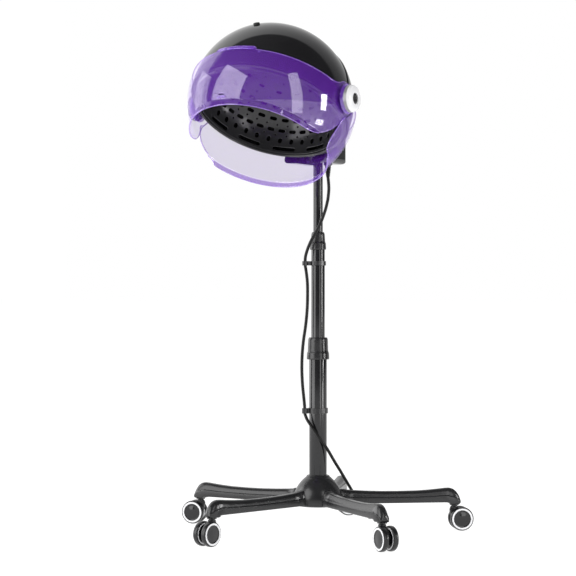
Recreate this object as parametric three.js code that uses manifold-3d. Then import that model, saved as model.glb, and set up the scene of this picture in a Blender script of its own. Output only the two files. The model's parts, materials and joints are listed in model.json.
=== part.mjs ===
// Hood hair dryer on a rolling stand: a round hood with a lifting visor, on a three-stage mast with five casters.
// Millimetres, +Z up. The hood faces -Y, and the floor is z = 0.
import * as THREE from "three";
import { mergeVertices } from "three/addons/utils/BufferGeometryUtils.js";
import Module from "manifold-3d";

const wasm = await Module();
wasm.setup();

// ---- Driving dimensions ------------------------------------------------------------------------------------------
const GAP = 0.3; // between pieces that touch

// The mast's axis, measured from the middle of the object's footprint.
const MAST_X = 27.52;
const MAST_Y = 27.8;

// Base
const LEGS = 5;
const FIRST_LEG_DEG = 36.5;
const LEG_STEP_DEG = 360 / LEGS;
const STEM_CIRCLE_R = 291; // from the mast to a caster's stem
const HUB_R = 52;
const HUB_BOTTOM_Z = 57;
const HUB_TOP_Z = 120;
const SOCKET_FLOOR_Z = 98.5;
const LEG_UNDERSIDE_Z = 60;
const LEG_FOOT_Z = 56;
const LEG_WIDTH = 27;

// Casters
const WHEEL_R = 25;
const WHEEL_WIDTH = 12.5;
const WHEEL_INSET = 4.5; // from the caster's middle plane to a wheel
const TRAIL = 14; // from the stem to the axle
const STEM_R = 5;
const AXLE_R = 3;
const CASTER_HEADINGS_DEG = [38, 40, 190, 260, 326]; // the way each trail points

// Mast: three stages, each sliding in the one below
const LOWER = { r: 18.5, bore: 16.5, bottom: 99, top: 394 };
const MIDDLE = { r: 14.25, bore: 12.2, bottom: 215, top: 614.7 };
const UPPER = { r: 10, bore: 8, bottom: 380, top: 789 };
const LOWER_COLLAR_Z = [363, 409];
const UPPER_COLLAR_Z = [593, 630];
const COLLAR_SLIT_DEG = -25;
const LOWER_CLIP_Z = [250, 261];
const UPPER_CLIP_Z = [560, 569];

// Hood: its own frame has the visor's pivot axis along X, +Y to the back and +Z to the crown.
const HOOD_Y = -192;
const HOOD_Z = 883;
const PITCH_DEG = 30; // front up
const VISOR_R = 169;
const SHROUD_R = 171.5;
const SHELL = 2.6; // wall of the two clear shells
const FRONT_DOME = { r: 163, height: 159.5, wall: 3 };
const REAR_DOME = { r: 165, height: 161.5, wall: 3 };
const DOME_HEM_Z = -18;
const REAR_STEP_Z = 17; // below this the rear dome runs straight down behind the shroud
const REAR_SKIRT_R = 164.5;
const SEAM_Y = 12;
const PIVOT_NOTCH_R = 38;
const EAR_R = 34;
const EAR_BORE_R = 5.9;
const BAND_TOP_Z = 10;
const TAB_TOP_Z = 17;
const TAB_HALF_WIDTH = 47;
const BAND_BOTTOM_Z = -90;
const VISOR_HEM_Z = -102;
const SHROUD_BOTTOM_Z = -97;
const SHROUD_HEM_Z = -107.5;
const LINER = { r: 148.6, height: 118, wall: 2.4, rim: -24 };
const KNOB_R = 27;
const KNOB_INNER_X = 171;
const KNOB_OUTER_X = 191.5;

// Rear housing, and the tilt joint that it hangs on
const TILT_Z = 800;
const TILT_BLOCK_R = 18;
const PIN_R = 5;
const HOUSING_HALF_WIDTH = 48;
const HOUSING_Z = [772, 900];
const HOUSING_BACK_Y = 38;
const PIN_HALF_LENGTH = 44;
const POCKET_HALF_WIDTH = 38;
const POCKET_Z = [836, 882];
const DIAL_X = 20;
const DIAL_Z = 859;
const DIAL_R = 14;
const GLAND = [32, -15];

// Cord: the route's points, from the gland to the coil on the floor behind the stand
const CORD_R = 3.25;
const RELIEF_BOTTOM_Z = 744;
const HEAD_CORD = [
  [32, -15, 743.7],
  [33.1, -14.4, 732],
  [33.1, -13.2, 718],
  [31.1, -13.8, 697],
];
const UPPER_CORD = [
  [31, -13.9, 696],
  [26.5, -15.9, 676],
  [18.2, -19.5, 651],
  [8.2, -23, 630],
  [-2.4, -25.6, 611],
  [-11.6, -24, 594],
  [-18.6, -20.4, 579],
  [-20.4, -18.8, 570],
  [-20.4, -18.7, 565],
];
const MIDDLE_CORD = [
  [-20.4, -18.7, 564.4],
  [-20.2, -18.7, 559],
  [-18.2, -18.6, 548],
  [-15, -19, 525],
  [-14.1, -19.7, 495],
  [-14.9, -20.2, 467],
  [-17.5, -21.7, 435],
  [-21.8, -24.2, 400],
  [-24, -25.4, 370],
  [-24.4, -25.7, 340],
  [-23.2, -25, 310],
  [-21, -23.7, 284],
  [-19.4, -22.8, 264],
  [-19.2, -22.7, 249.8],
];
const LOWER_CORD = [
  [-18.6, -22.9, 248],
  [-12.6, -24.7, 237.5],
  [-1, -25.8, 224],
  [13, -22.5, 204],
  [26.1, -8, 177],
  [34.9, 7.5, 150],
  [39.9, 24.2, 129],
  [43.7, 43.7, 106],
  [46.1, 62.4, 86],
  [42.7, 94, 63],
  [35, 133.4, 39],
  [21.9, 180.1, 17],
  [7.2, 223.5, 6],
  [-11, 265, 3.6],
  [-32.9, 310.1, 3.6],
  [-57.1, 353.9, 3.6],
  [-78.7, 393.3, 3.6],
  [-100, 430.4, 3.6],
];
const COIL = { x: -147.7, y: 430.9, r: 38, halfWidth: 6.7, height: 13.2 };
const PLUG_OFFSET = [23.3, -9.6]; // from the coil's middle
const PLUG_HEADING_DEG = 30;

const PIECE_COLOURS = {
  gloss_black: [0x0b0b0c, 0.15, 0],
  satin_black: [0x1b1b1c, 0.45, 0],
  clear_purple: [0x6a35b0, 0.08, 0],
  white_plastic: [0xe6e6e8, 0.25, 0],
  grey_plastic: [0xcdc8d0, 0.4, 0],
  steel: [0xa8a8ac, 0.3, 1],
  rubber: [0x101011, 0.8, 0],
  mica: [0xb59a6a, 0.7, 0],
};
const MATERIALS = Object.fromEntries(
  Object.entries(PIECE_COLOURS).map(([name, [color, roughness, metalness]]) => [
    name,
    new THREE.MeshStandardMaterial({ name, color, roughness, metalness }),
  ]),
);

// ---- Solids ------------------------------------------------------------------------------------------------------
const radians = THREE.MathUtils.degToRad;

/** A three.js geometry as a manifold solid. */
function solid(geometry) {
  const bare = geometry.index ? geometry.toNonIndexed() : geometry.clone();
  bare.deleteAttribute("normal");
  bare.deleteAttribute("uv");
  const merged = mergeVertices(bare, 1e-3);
  const all = merged.index.array;
  const kept = [];
  for (let i = 0; i < all.length; i += 3) {
    const [a, b, c] = [all[i], all[i + 1], all[i + 2]];
    if (a !== b && b !== c && c !== a) kept.push(a, b, c);
  }
  const mesh = new wasm.Mesh({
    numProp: 3,
    vertProperties: merged.attributes.position.array,
    triVerts: new Uint32Array(kept),
  });
  return new wasm.Manifold(mesh);
}

/** A manifold solid as a three.js mesh, added to a group. */
function piece(group, name, shape, material) {
  const made = shape.getMesh();
  const positions = new Float32Array(made.numVert * 3);
  for (let i = 0; i < made.numVert; i++) {
    for (let k = 0; k < 3; k++) positions[i * 3 + k] = made.vertProperties[i * made.numProp + k];
  }
  const geometry = new THREE.BufferGeometry();
  geometry.setAttribute("position", new THREE.BufferAttribute(positions, 3));
  geometry.setIndex(new THREE.BufferAttribute(made.triVerts, 1));
  geometry.computeVertexNormals();
  const mesh = new THREE.Mesh(geometry, MATERIALS[material]);
  mesh.name = name;
  group.add(mesh);
  return mesh;
}

/** A profile of [radius, height] points turned about Z; it closes on the axis or on itself. */
function turned(profile, segments = 24) {
  const points = profile.map(([r, z]) => new THREE.Vector2(r, z));
  const [first, last] = [points[0], points[points.length - 1]];
  if (first.x > 0 || last.x > 0) points.push(first.clone());
  if (THREE.ShapeUtils.area(points) < 0) points.reverse();
  return solid(new THREE.LatheGeometry(points, segments).rotateX(Math.PI / 2));
}

/** A profile of [radius, along] points turned about X, from a middle point. */
function turnedX(profile, [x, y, z] = [0, 0, 0], segments = 20) {
  return turned(profile, segments).rotate([0, 90, 0]).translate([x, y, z]);
}

/** A round bar along X between two places. */
function barX(r, x0, x1, [y, z] = [0, 0], segments = 20) {
  return turnedX([[0, x0], [r, x0], [r, x1], [0, x1]], [0, y, z], segments);
}

/** A round bar along Z between two heights. */
function barZ(r, z0, z1, [x, y] = [0, 0], segments = 20) {
  return turned([[0, z0], [r, z0], [r, z1], [0, z1]], segments).translate([x, y, 0]);
}

/** A tube along Z. */
function tubeZ(r, bore, z0, z1, segments = 20) {
  return turned([[bore, z0], [r, z0], [r, z1], [bore, z1]], segments);
}

function outline(points) {
  return new THREE.Shape(points.map(([a, b]) => new THREE.Vector2(a, b)));
}

/** An outline of [y, z] points, from x0 to x1. */
function prismX(points, x0, x1) {
  const geometry = new THREE.ExtrudeGeometry(outline(points), { depth: x1 - x0, bevelEnabled: false });
  const axes = new THREE.Matrix4().makeBasis(
    new THREE.Vector3(0, 1, 0),
    new THREE.Vector3(0, 0, 1),
    new THREE.Vector3(1, 0, 0),
  );
  return solid(geometry.applyMatrix4(axes).translate(x0, 0, 0));
}

/** An outline of [x, y] points, from z0 to z1. */
function prismZ(points, z0, z1) {
  const geometry = new THREE.ExtrudeGeometry(outline(points), { depth: z1 - z0, bevelEnabled: false });
  return solid(geometry.translate(0, 0, z0));
}

/** An outline of [x, z] points, from y0 to y1. */
function prismY(points, y0, y1) {
  const geometry = new THREE.ExtrudeGeometry(outline(points), { depth: y1 - y0, bevelEnabled: false });
  return solid(geometry.rotateX(Math.PI / 2).translate(0, y1, 0));
}

function box([x0, x1], [y0, y1], [z0, z1]) {
  const geometry = new THREE.BoxGeometry(x1 - x0, y1 - y0, z1 - z0);
  return solid(geometry.translate((x0 + x1) / 2, (y0 + y1) / 2, (z0 + z1) / 2));
}

/** The points of an ellipse's arc, from height z0 to z1, about its centre height. */
function ellipse(r, height, z0, z1, steps, centre = 0) {
  const [from, to] = [Math.asin((z0 - centre) / height), Math.asin((z1 - centre) / height)];
  return Array.from({ length: steps + 1 }, (_, i) => {
    const t = from + ((to - from) * i) / steps;
    const radius = i === steps && z1 - centre === height ? 0 : r * Math.cos(t);
    return [radius, centre + height * Math.sin(t)];
  });
}

/** Points round a rectangle whose corners are rounded by the four radii, from the lower left, anticlockwise. */
function roundedBox([a0, a1], [b0, b1], radii, steps = 3) {
  const corners = [[a0, b0, 180], [a1, b0, 270], [a1, b1, 0], [a0, b1, 90]];
  return corners.flatMap(([a, b, start], i) => {
    const r = radii[i];
    const [ca, cb] = [a + (a === a0 ? r : -r), b + (b === b0 ? r : -r)];
    return Array.from({ length: steps + 1 }, (_, k) => {
      const t = radians(start + (90 * k) / steps);
      return [ca + r * Math.cos(t), cb + r * Math.sin(t)];
    });
  });
}

// ---- Base --------------------------------------------------------------------------------------------------------
const HUB_DOME = [[52, 68], [50.5, 80], [45, 95], [35, 108], [24, 117]];

function makeHub(base) {
  const profile = [
    [0, HUB_BOTTOM_Z],
    [HUB_R, HUB_BOTTOM_Z],
    ...HUB_DOME,
    [LOWER.r + 3.5, HUB_TOP_Z],
    [LOWER.r + GAP, HUB_TOP_Z],
    [LOWER.r + GAP, SOCKET_FLOOR_Z],
    [0, SOCKET_FLOOR_Z],
  ];
  piece(base, "base_hub", turned(profile, 24), "satin_black");
}

/** One leg along +X: its side outline, cut to a section with bevelled top edges, less the hub and the stem's hole. */
function makeLeg(base, number) {
  const side = [
    [42, LEG_UNDERSIDE_Z], [STEM_CIRCLE_R - 13, LEG_UNDERSIDE_Z], [STEM_CIRCLE_R - 11, LEG_FOOT_Z],
    [STEM_CIRCLE_R + 11, LEG_FOOT_Z], [STEM_CIRCLE_R + 13, 62], [STEM_CIRCLE_R + 13, 68],
    [STEM_CIRCLE_R - 4, 89], [STEM_CIRCLE_R - 18, 90.5], [250, 86.5], [170, 84.5], [100, 86], [42, 89.5],
  ];
  const half = LEG_WIDTH / 2;
  const section = [
    [-half - 1, LEG_FOOT_Z - 1], [half + 1, LEG_FOOT_Z - 1], [half, 74], [half - 4, 82],
    [half - 7.5, 91], [7.5 - half, 91], [4 - half, 82], [-half, 74],
  ];
  const hub = turned([[0, 50], [HUB_R + 1, 50], ...HUB_DOME.map(([r, z]) => [r + 1, z]), [0, 118]], 24);
  const leg = prismY(side, -half - 2, half + 2)
    .intersect(prismX(section, 0, STEM_CIRCLE_R + 20))
    .subtract(hub)
    .subtract(barZ(STEM_R + GAP, LEG_FOOT_Z - 1, 79, [STEM_CIRCLE_R, 0], 12));
  const arm = new THREE.Group();
  arm.rotation.z = radians(FIRST_LEG_DEG + (number - 1) * LEG_STEP_DEG);
  base.add(arm);
  piece(arm, `leg_${number}`, leg, "satin_black");
}

/** A caster's own frame has the stem on Z and the trail along +X. */
function makeFork() {
  const side = [
    [-9, 38], [-5, 30], [6, 16], [TRAIL, 10], [TRAIL + 9, 14], [TRAIL + 12, 25],
    [TRAIL + 9, 38], [9, 50], [-7, 51],
  ];
  const half = WHEEL_INSET - GAP;
  const cheek = prismY(side, -half, half);
  const stem = barZ(STEM_R, 48, 78, [0, 0], 10);
  const shoulder = barZ(9, 50, LEG_FOOT_Z - GAP, [0, 0], 10);
  const reach = WHEEL_INSET + WHEEL_WIDTH - 2.5;
  const axle = barX(AXLE_R, -reach, reach, [0, 0], 8).rotate([0, 0, 90]).translate([TRAIL, 0, WHEEL_R]);
  return cheek.add(stem).add(shoulder).add(axle);
}

/** One wheel on the +Y side: a disc with rounded shoulders and a blind bore. */
function makeWheel() {
  const profile = [
    [AXLE_R + GAP, 0],
    [WHEEL_R - 3, 0],
    [WHEEL_R, 3],
    [WHEEL_R, WHEEL_WIDTH - 4],
    [WHEEL_R - 3, WHEEL_WIDTH],
    [0, WHEEL_WIDTH],
    [0, WHEEL_WIDTH - 2.2],
    [AXLE_R + GAP, WHEEL_WIDTH - 2.2],
  ];
  return turned(profile, 14).rotate([-90, 0, 0]).translate([TRAIL, WHEEL_INSET, WHEEL_R]);
}

function makeCaster(base, number) {
  const at = radians(FIRST_LEG_DEG + (number - 1) * LEG_STEP_DEG);
  const caster = new THREE.Group();
  caster.position.set(STEM_CIRCLE_R * Math.cos(at), STEM_CIRCLE_R * Math.sin(at), 0);
  caster.rotation.z = radians(CASTER_HEADINGS_DEG[number - 1]);
  base.add(caster);
  piece(caster, `caster_${number}_fork`, makeFork(), "satin_black");
  piece(caster, `caster_${number}_left_wheel`, makeWheel(), "rubber");
  piece(caster, `caster_${number}_right_wheel`, makeWheel().mirror([0, 1, 0]), "rubber");
}

// ---- Mast --------------------------------------------------------------------------------------------------------
function makeTubes(mast) {
  for (const [name, tube] of Object.entries({ lower_tube: LOWER, middle_tube: MIDDLE, upper_tube: UPPER })) {
    piece(mast, name, tubeZ(tube.r, tube.bore, tube.bottom, tube.top), "gloss_black");
  }
}

/** A tapered collar round the top of one tube, with a shoulder over its end and a slit down one side. */
function makeCollar(mast, name, [z0, z1], [bottomR, topR], outer, inner) {
  const shoulder = outer.top + GAP;
  const profile = [
    [outer.r + GAP, z0],
    [bottomR, z0],
    [bottomR, z0 + 14],
    [topR + 0.8, z0 + 17],
    [topR, z1 - 1],
    [topR - 1, z1],
    [inner.r + GAP, z1],
    [inner.r + GAP, shoulder],
    [outer.r + GAP, shoulder],
  ];
  const slit = box([0, bottomR + 1], [-1, 1], [z0 - 1, z1 - 9]).rotate([0, 0, COLLAR_SLIT_DEG]);
  piece(mast, name, turned(profile, 18).subtract(slit), "satin_black");
}

/** A guide bush in the top of a tube. */
function makeBush(mast, name, outer, inner) {
  const bush = tubeZ(outer.bore - GAP, inner.r + GAP, outer.top - 24, outer.top - 1);
  piece(mast, name, bush, "grey_plastic");
}

/** A band round a tube, and an eye that holds the cord beside it. */
function makeClip(mast, name, tube, [z0, z1], [x, y]) {
  const band = barZ(tube.r + 2.6, z0, z1);
  const eye = barZ(CORD_R + 3, z0, z1, [x, y], 12);
  const reach = Math.hypot(x, y);
  const arm = box([0, reach], [-2.5, 2.5], [z0, z1]).rotate([0, 0, THREE.MathUtils.radToDeg(Math.atan2(y, x))]);
  const clip = band
    .add(arm)
    .add(eye)
    .subtract(barZ(tube.r + GAP, z0 - 1, z1 + 1))
    .subtract(barZ(CORD_R + 0.9, z0 - 1, z1 + 1, [x, y], 12));
  piece(mast, name, clip, "satin_black");
}

function makeTiltBlock(mast) {
  const barrel = barX(TILT_BLOCK_R, -20, 20, [0, TILT_Z]);
  const neck = barZ(13.5, 775, TILT_Z);
  const block = barrel
    .add(neck)
    .subtract(barZ(UPPER.r + GAP, 774, UPPER.top + GAP))
    .subtract(barX(PIN_R + GAP, -21, 21, [0, TILT_Z], 16));
  piece(mast, "tilt_block", block, "satin_black");
  piece(mast, "tilt_pin", barX(PIN_R, -PIN_HALF_LENGTH, PIN_HALF_LENGTH, [0, TILT_Z], 16), "steel");
}

// ---- Hood --------------------------------------------------------------------------------------------------------
function domeShell({ r, height, wall }, lowest) {
  const steps = 7;
  return turned(
    [
      ...ellipse(r, height, lowest, height, steps),
      ...ellipse(r - wall, height - wall, lowest, height - wall, steps).reverse(),
    ],
    32,
  );
}

function makeFrontDome(hood) {
  const front = box([-200, 200], [-200, SEAM_Y], [-200, 200]).add(barX(PIVOT_NOTCH_R - 0.5, -200, 200));
  const dome = domeShell(FRONT_DOME, DOME_HEM_Z)
    .intersect(front)
    .subtract(barX(EAR_BORE_R, -200, 200, [0, 0], 16));
  piece(hood, "front_dome", dome, "gloss_black");
}

/** The rear dome stands a little proud of the front one, runs down behind the shroud, and has the inlet's slots. */
function makeRearDome(hood) {
  const { r, height, wall } = REAR_DOME;
  const steps = 7;
  const profile = [
    [REAR_SKIRT_R, DOME_HEM_Z],
    [REAR_SKIRT_R, REAR_STEP_Z - 1],
    ...ellipse(r, height, REAR_STEP_Z, height, steps),
    ...ellipse(r - wall, height - wall, REAR_STEP_Z + 3, height - wall, steps).reverse(),
    [REAR_SKIRT_R - wall, REAR_STEP_Z],
    [REAR_SKIRT_R - wall, DOME_HEM_Z],
  ];
  let dome = turned(profile, 32)
    .intersect(box([-200, 200], [SEAM_Y + GAP, 200], [-200, 200]))
    .subtract(barX(PIVOT_NOTCH_R, -200, 200));
  for (let x = -30; x <= 30; x += 15) {
    dome = dome.subtract(box([x - 3, x + 3], [60, 112], [100, 180]));
  }
  piece(hood, "rear_dome", dome, "gloss_black");
}

/** The visor: a band of a sphere with a straight lip, an ear round each pivot and a raised tab at the front. */
function makeVisor(hood) {
  const inner = VISOR_R - SHELL;
  const band = turned(
    [
      ...ellipse(VISOR_R, VISOR_R, BAND_BOTTOM_Z, EAR_R + 2, 6).reverse(),
      [144.4, BAND_BOTTOM_Z - 1],
      [143.6, VISOR_HEM_Z],
      [141, VISOR_HEM_Z],
      [141.8, BAND_BOTTOM_Z + 1],
      ...ellipse(inner, inner, BAND_BOTTOM_Z + 2, EAR_R + 2, 6),
    ],
    32,
  );
  const side = [
    [-200, VISOR_HEM_Z - 2], [-44, VISOR_HEM_Z - 2], [-24, -98], [-6, -85], [6, -70], [SEAM_Y - 2, -52],
    [SEAM_Y - 2, 0], [-20, 27], [-26, 18], [-36, 11.5], [-52, BAND_TOP_Z], [-200, BAND_TOP_Z],
  ];
  const tab = box([-TAB_HALF_WIDTH, TAB_HALF_WIDTH], [-200, -100], [0, TAB_TOP_Z]);
  const face = prismX(side, -200, 200).add(barX(EAR_R, -200, 200)).add(tab);
  const slot = box([-23, -5], [-200, -100], [-84, -78]);
  const visor = band.intersect(face).subtract(slot).subtract(barX(EAR_BORE_R, -200, 200, [0, 0], 16));
  piece(hood, "visor", visor, "clear_purple");
}

/** The neck shroud: the band's rear half, notched round the pivots, with a lip round the back. */
function makeShroud(hood) {
  const inner = SHROUD_R - SHELL;
  const band = turned(
    [
      ...ellipse(SHROUD_R, SHROUD_R, SHROUD_BOTTOM_Z + 1, REAR_STEP_Z - 2.5, 6).reverse(),
      [143.4, SHROUD_BOTTOM_Z],
      [143, SHROUD_HEM_Z],
      [140.4, SHROUD_HEM_Z],
      [140.4, SHROUD_BOTTOM_Z + 1],
      ...ellipse(inner, inner, SHROUD_BOTTOM_Z + 2.5, REAR_STEP_Z - 2.5, 6),
    ],
    32,
  );
  const front = SEAM_Y + 2.5;
  const side = [
    [front, 20], [front, -66], [front + 3.5, -82], [front + 10, -92], [front + 19, SHROUD_BOTTOM_Z],
    [46, SHROUD_BOTTOM_Z], [52, SHROUD_HEM_Z - 1], [200, SHROUD_HEM_Z - 1], [200, 20],
  ];
  const shroud = band.intersect(prismX(side, -200, 200)).subtract(barX(PIVOT_NOTCH_R, -200, 200));
  piece(hood, "neck_shroud", shroud, "clear_purple");
}

/** The air liner: a perforated bowl over the head, with a ring of long slots above its rim. */
function makeLiner(hood) {
  const { r, height, wall, rim } = LINER;
  const steps = 6;
  let liner = turned(
    [
      ...ellipse(r, height, rim, rim + height, steps, rim),
      ...ellipse(r - wall, height - wall, rim, rim + height - wall, steps, rim).reverse(),
    ],
    30,
  );
  const slots = 12;
  const half = 23;
  for (let i = 0; i < slots; i++) {
    const slot = box([100, 200], [-half, half], [-19, -10]).rotate([0, 0, (360 * (i + 0.5)) / slots]);
    liner = liner.subtract(slot);
  }
  const rows = [[12, 18, 8], [8, 55, 8]]; // holes, height, radius
  for (const [count, z, radius] of rows) {
    for (let i = 0; i < count; i++) {
      const hole = barX(radius, 60, 200, [0, z], 6).rotate([0, 0, (360 * i) / count]);
      liner = liner.subtract(hole);
    }
  }
  piece(hood, "perforated_liner", liner, "satin_black");
}

/** The ring that closes the air space between the liner's rim and the dome. */
function makePlenumRing(hood) {
  const [inner, outer] = [LINER.r + GAP, FRONT_DOME.r - FRONT_DOME.wall - 1];
  const profile = [
    [inner, -22], [inner + 1.5, -27], [inner + 3, -28], [inner + 5, -27], [inner + 6, -22.5], [outer, -21.5],
    [outer, -19], [inner + 3, -19], [inner, -20.5],
  ];
  piece(hood, "plenum_ring", turned(profile, 30), "satin_black");
}

function makeKnob(hood, name, side) {
  const profile = [
    [0, 150], [EAR_BORE_R - 0.7, 150], [EAR_BORE_R - 0.7, KNOB_INNER_X], [KNOB_R + 3, KNOB_INNER_X],
    [KNOB_R + 3, KNOB_INNER_X + 2], [KNOB_R, KNOB_INNER_X + 3], [KNOB_R, KNOB_OUTER_X - 7],
    [KNOB_R - 3, KNOB_OUTER_X - 2], [KNOB_R - 9, KNOB_OUTER_X], [11, KNOB_OUTER_X], [10, KNOB_OUTER_X - 2.5],
    [0, KNOB_OUTER_X - 2.5],
  ];
  const knob = turnedX(profile, [0, 0, 0], 16);
  piece(hood, name, side < 0 ? knob.mirror([1, 0, 0]) : knob, "white_plastic");
}

/** The pad on the crown that a raised visor's edge passes over. */
function makeCrownPad(hood) {
  const tilt = 39;
  const pad = turned([[0, 161.9], [6.5, 161.9], [6.5, 164], [5, 165.4], [0, 165.4]], 16).rotate([90 - tilt, 0, 0]);
  piece(hood, "crown_pad", pad, "rubber");
}

function makeAirMover(hood) {
  const deckZ = [123, 125.5];
  const inlets = 6;
  let deck = barZ(92, ...deckZ, [0, 0], 24).subtract(barZ(4, 120, 130, [0, 0], 12));
  for (let i = 0; i < inlets; i++) {
    const at = radians((360 * i) / inlets);
    deck = deck.subtract(barZ(9, 120, 130, [36 * Math.cos(at), 36 * Math.sin(at)], 8));
  }
  piece(hood, "fan_deck", deck, "grey_plastic");

  const motor = turned([[0, 104], [2, 104], [2, 126], [20, 126], [20, 147], [14, 150], [0, 150]], 16);
  piece(hood, "fan_motor", motor, "steel");

  const blades = 8;
  let impeller = tubeZ(9, 2.3, 105.5, 120, 20).add(tubeZ(50, 2.3, 118, 120));
  for (let i = 0; i < blades; i++) {
    const blade = box([7, 49], [-1, 1], [107, 118.5]).rotate([0, 0, (360 * i) / blades]);
    impeller = impeller.add(blade);
  }
  piece(hood, "fan_impeller", impeller, "grey_plastic");
  piece(hood, "heater_ring", tubeZ(60, 28, 97, 102), "mica");
  piece(hood, "thermal_cutout", barZ(8, deckZ[1] + GAP, 131, [0, -66], 12), "steel");
}

// ---- Rear housing ------------------------------------------------------------------------------------------------
/** The hood's outer shape in the mast's frame, with room round it. */
function hoodEnvelope() {
  const profile = [
    [0, -150], [100, -150], [SHROUD_R + 3, -60], [SHROUD_R + 3, REAR_STEP_Z],
    ...ellipse(REAR_DOME.r + 1.2, REAR_DOME.height + 1.2, REAR_STEP_Z + 1, REAR_DOME.height + 1.2, 9),
  ];
  return turned(profile, 40).rotate([-PITCH_DEG, 0, 0]).translate([0, HOOD_Y, HOOD_Z]);
}

function makeHousing(head) {
  const w = HOUSING_HALF_WIDTH;
  const back = HOUSING_BACK_Y;
  const pin = PIN_HALF_LENGTH + 1;
  const pocket = POCKET_HALF_WIDTH;
  const housing = prismY(roundedBox([-w, w], HOUSING_Z, [10, 10, 24, 24], 4), -70, back)
    .intersect(prismX(roundedBox([-75, back], HOUSING_Z, [0.5, 10, 14, 0.5]), -w, w))
    .intersect(prismZ(roundedBox([-w, w], [-75, back], [0.5, 0.5, 7, 7]), ...HOUSING_Z))
    .subtract(hoodEnvelope())
    .subtract(box([-21, 21], [-80, back + 5], [HOUSING_Z[0] - 5, 829]))
    .subtract(barX(PIN_R + GAP, -pin, pin, [0, TILT_Z], 16))
    .subtract(box([-pocket, pocket], [8, back + 1], POCKET_Z));
  piece(head, "rear_housing", housing, "gloss_black");

  const cover = pocket + 3;
  const coverZ = [POCKET_Z[0] - 4, POCKET_Z[1] + 4];
  const plate = prismY(roundedBox([-cover, cover], coverZ, [8, 8, 8, 8]), back + GAP, back + 3)
    .subtract(barX(4.6, 30, 50, [0, 0], 12).rotate([0, 0, 90]).translate([-DIAL_X, 0, DIAL_Z]))
    .subtract(barX(4.6, 30, 50, [0, 0], 12).rotate([0, 0, 90]).translate([DIAL_X, 0, DIAL_Z]));
  piece(head, "rear_cover", plate, "satin_black");
}

/** A control behind the rear cover, and the dial on its shaft. */
function makeControl(head, name, x, halfWidth) {
  const face = HOUSING_BACK_Y - 3;
  const body = box([x - halfWidth, x + halfWidth], [12, face], [DIAL_Z - 17, DIAL_Z + 17]);
  piece(head, `${name}_switch`, body, "grey_plastic");
  const plateTop = HOUSING_BACK_Y + 3;
  const profile = [
    [0, face + GAP], [4, face + GAP], [4, plateTop + GAP], [DIAL_R, plateTop + GAP],
    [DIAL_R - 1, plateTop + 12], [DIAL_R - 3, plateTop + 14], [0, plateTop + 14],
  ];
  const dial = turned(profile, 20).rotate([-90, 0, 0]).translate([x, 0, DIAL_Z]);
  piece(head, `${name}_dial`, dial, "satin_black");
}

// ---- Cord --------------------------------------------------------------------------------------------------------
function cordTube(points, steps) {
  const path = new THREE.CatmullRomCurve3(points.map(([x, y, z]) => new THREE.Vector3(x, y, z)));
  const sides = 8;
  const section = outline(
    Array.from({ length: sides }, (_, i) => {
      const t = radians((360 * i) / sides);
      return [CORD_R * Math.cos(t), CORD_R * Math.sin(t)];
    }),
  );
  return solid(new THREE.ExtrudeGeometry(section, { extrudePath: path, steps, bevelEnabled: false }));
}

function makeCord(stand) {
  const relief = turned([
    [0, RELIEF_BOTTOM_Z], [CORD_R + 1, RELIEF_BOTTOM_Z], [6.3, 767], [9, 768.5], [9, HOUSING_Z[0] - GAP],
    [0, HOUSING_Z[0] - GAP],
  ], 16);
  piece(stand, "cord_relief", relief.translate([...GLAND, 0]), "rubber");
  piece(stand, "mains_cord_head", cordTube(HEAD_CORD, 4), "rubber");
  piece(stand, "mains_cord_upper", cordTube(UPPER_CORD, 12), "rubber");
  piece(stand, "mains_cord_middle", cordTube(MIDDLE_CORD, 18), "rubber");
  piece(stand, "mains_cord_lower", cordTube(LOWER_CORD, 36), "rubber");

  const { x, y, r, halfWidth, height } = COIL;
  const coil = turned([[r - halfWidth, 0], [r + halfWidth, 0], [r + halfWidth, height], [r - halfWidth, height]], 28);
  piece(stand, "cord_coil", coil.translate([x, y, 0]), "rubber");
}

/** A two-blade plug that lies across the coil. */
function makePlug(stand) {
  const body = box([-14, 14], [-10, 10], [0.4, 16]);
  const collar = barX(4.5, -30, -12, [0, 8], 12);
  const blades = box([13, 31], [-7.1, -5.6], [5, 11]).add(box([13, 31], [5.6, 7.1], [5, 11]));
  const plug = body.add(collar).add(blades).rotate([0, 0, PLUG_HEADING_DEG]);
  const [dx, dy] = PLUG_OFFSET;
  piece(stand, "mains_plug", plug.translate([COIL.x + dx, COIL.y + dy, COIL.height]), "rubber");
}

// ---- Assembly ----------------------------------------------------------------------------------------------------
const root = new THREE.Group();
const stand = new THREE.Group();
stand.position.set(MAST_X, MAST_Y, 0);
root.add(stand);

makeHub(stand);
for (let number = 1; number <= LEGS; number++) {
  makeLeg(stand, number);
  makeCaster(stand, number);
}

makeTubes(stand);
makeCollar(stand, "lower_collar", LOWER_COLLAR_Z, [23.5, 20.5], LOWER, MIDDLE);
makeCollar(stand, "upper_collar", UPPER_COLLAR_Z, [16.9, 14], MIDDLE, UPPER);
makeBush(stand, "lower_bush", LOWER, MIDDLE);
makeBush(stand, "upper_bush", MIDDLE, UPPER);
makeClip(stand, "lower_cord_clip", LOWER, LOWER_CLIP_Z, LOWER_CORD[0]);
makeClip(stand, "upper_cord_clip", MIDDLE, UPPER_CLIP_Z, MIDDLE_CORD[0]);
makeTiltBlock(stand);

const hood = new THREE.Group();
hood.position.set(0, HOOD_Y, HOOD_Z);
hood.rotation.x = radians(-PITCH_DEG);
stand.add(hood);
makeFrontDome(hood);
makeRearDome(hood);
makeVisor(hood);
makeShroud(hood);
makeLiner(hood);
makePlenumRing(hood);
makeKnob(hood, "right_pivot_knob", 1);
makeKnob(hood, "left_pivot_knob", -1);
makeCrownPad(hood);
makeAirMover(hood);

makeHousing(stand);
makeControl(stand, "timer", -DIAL_X, 15);
makeControl(stand, "heat", DIAL_X, 14);
makeCord(stand);
makePlug(stand);

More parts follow.
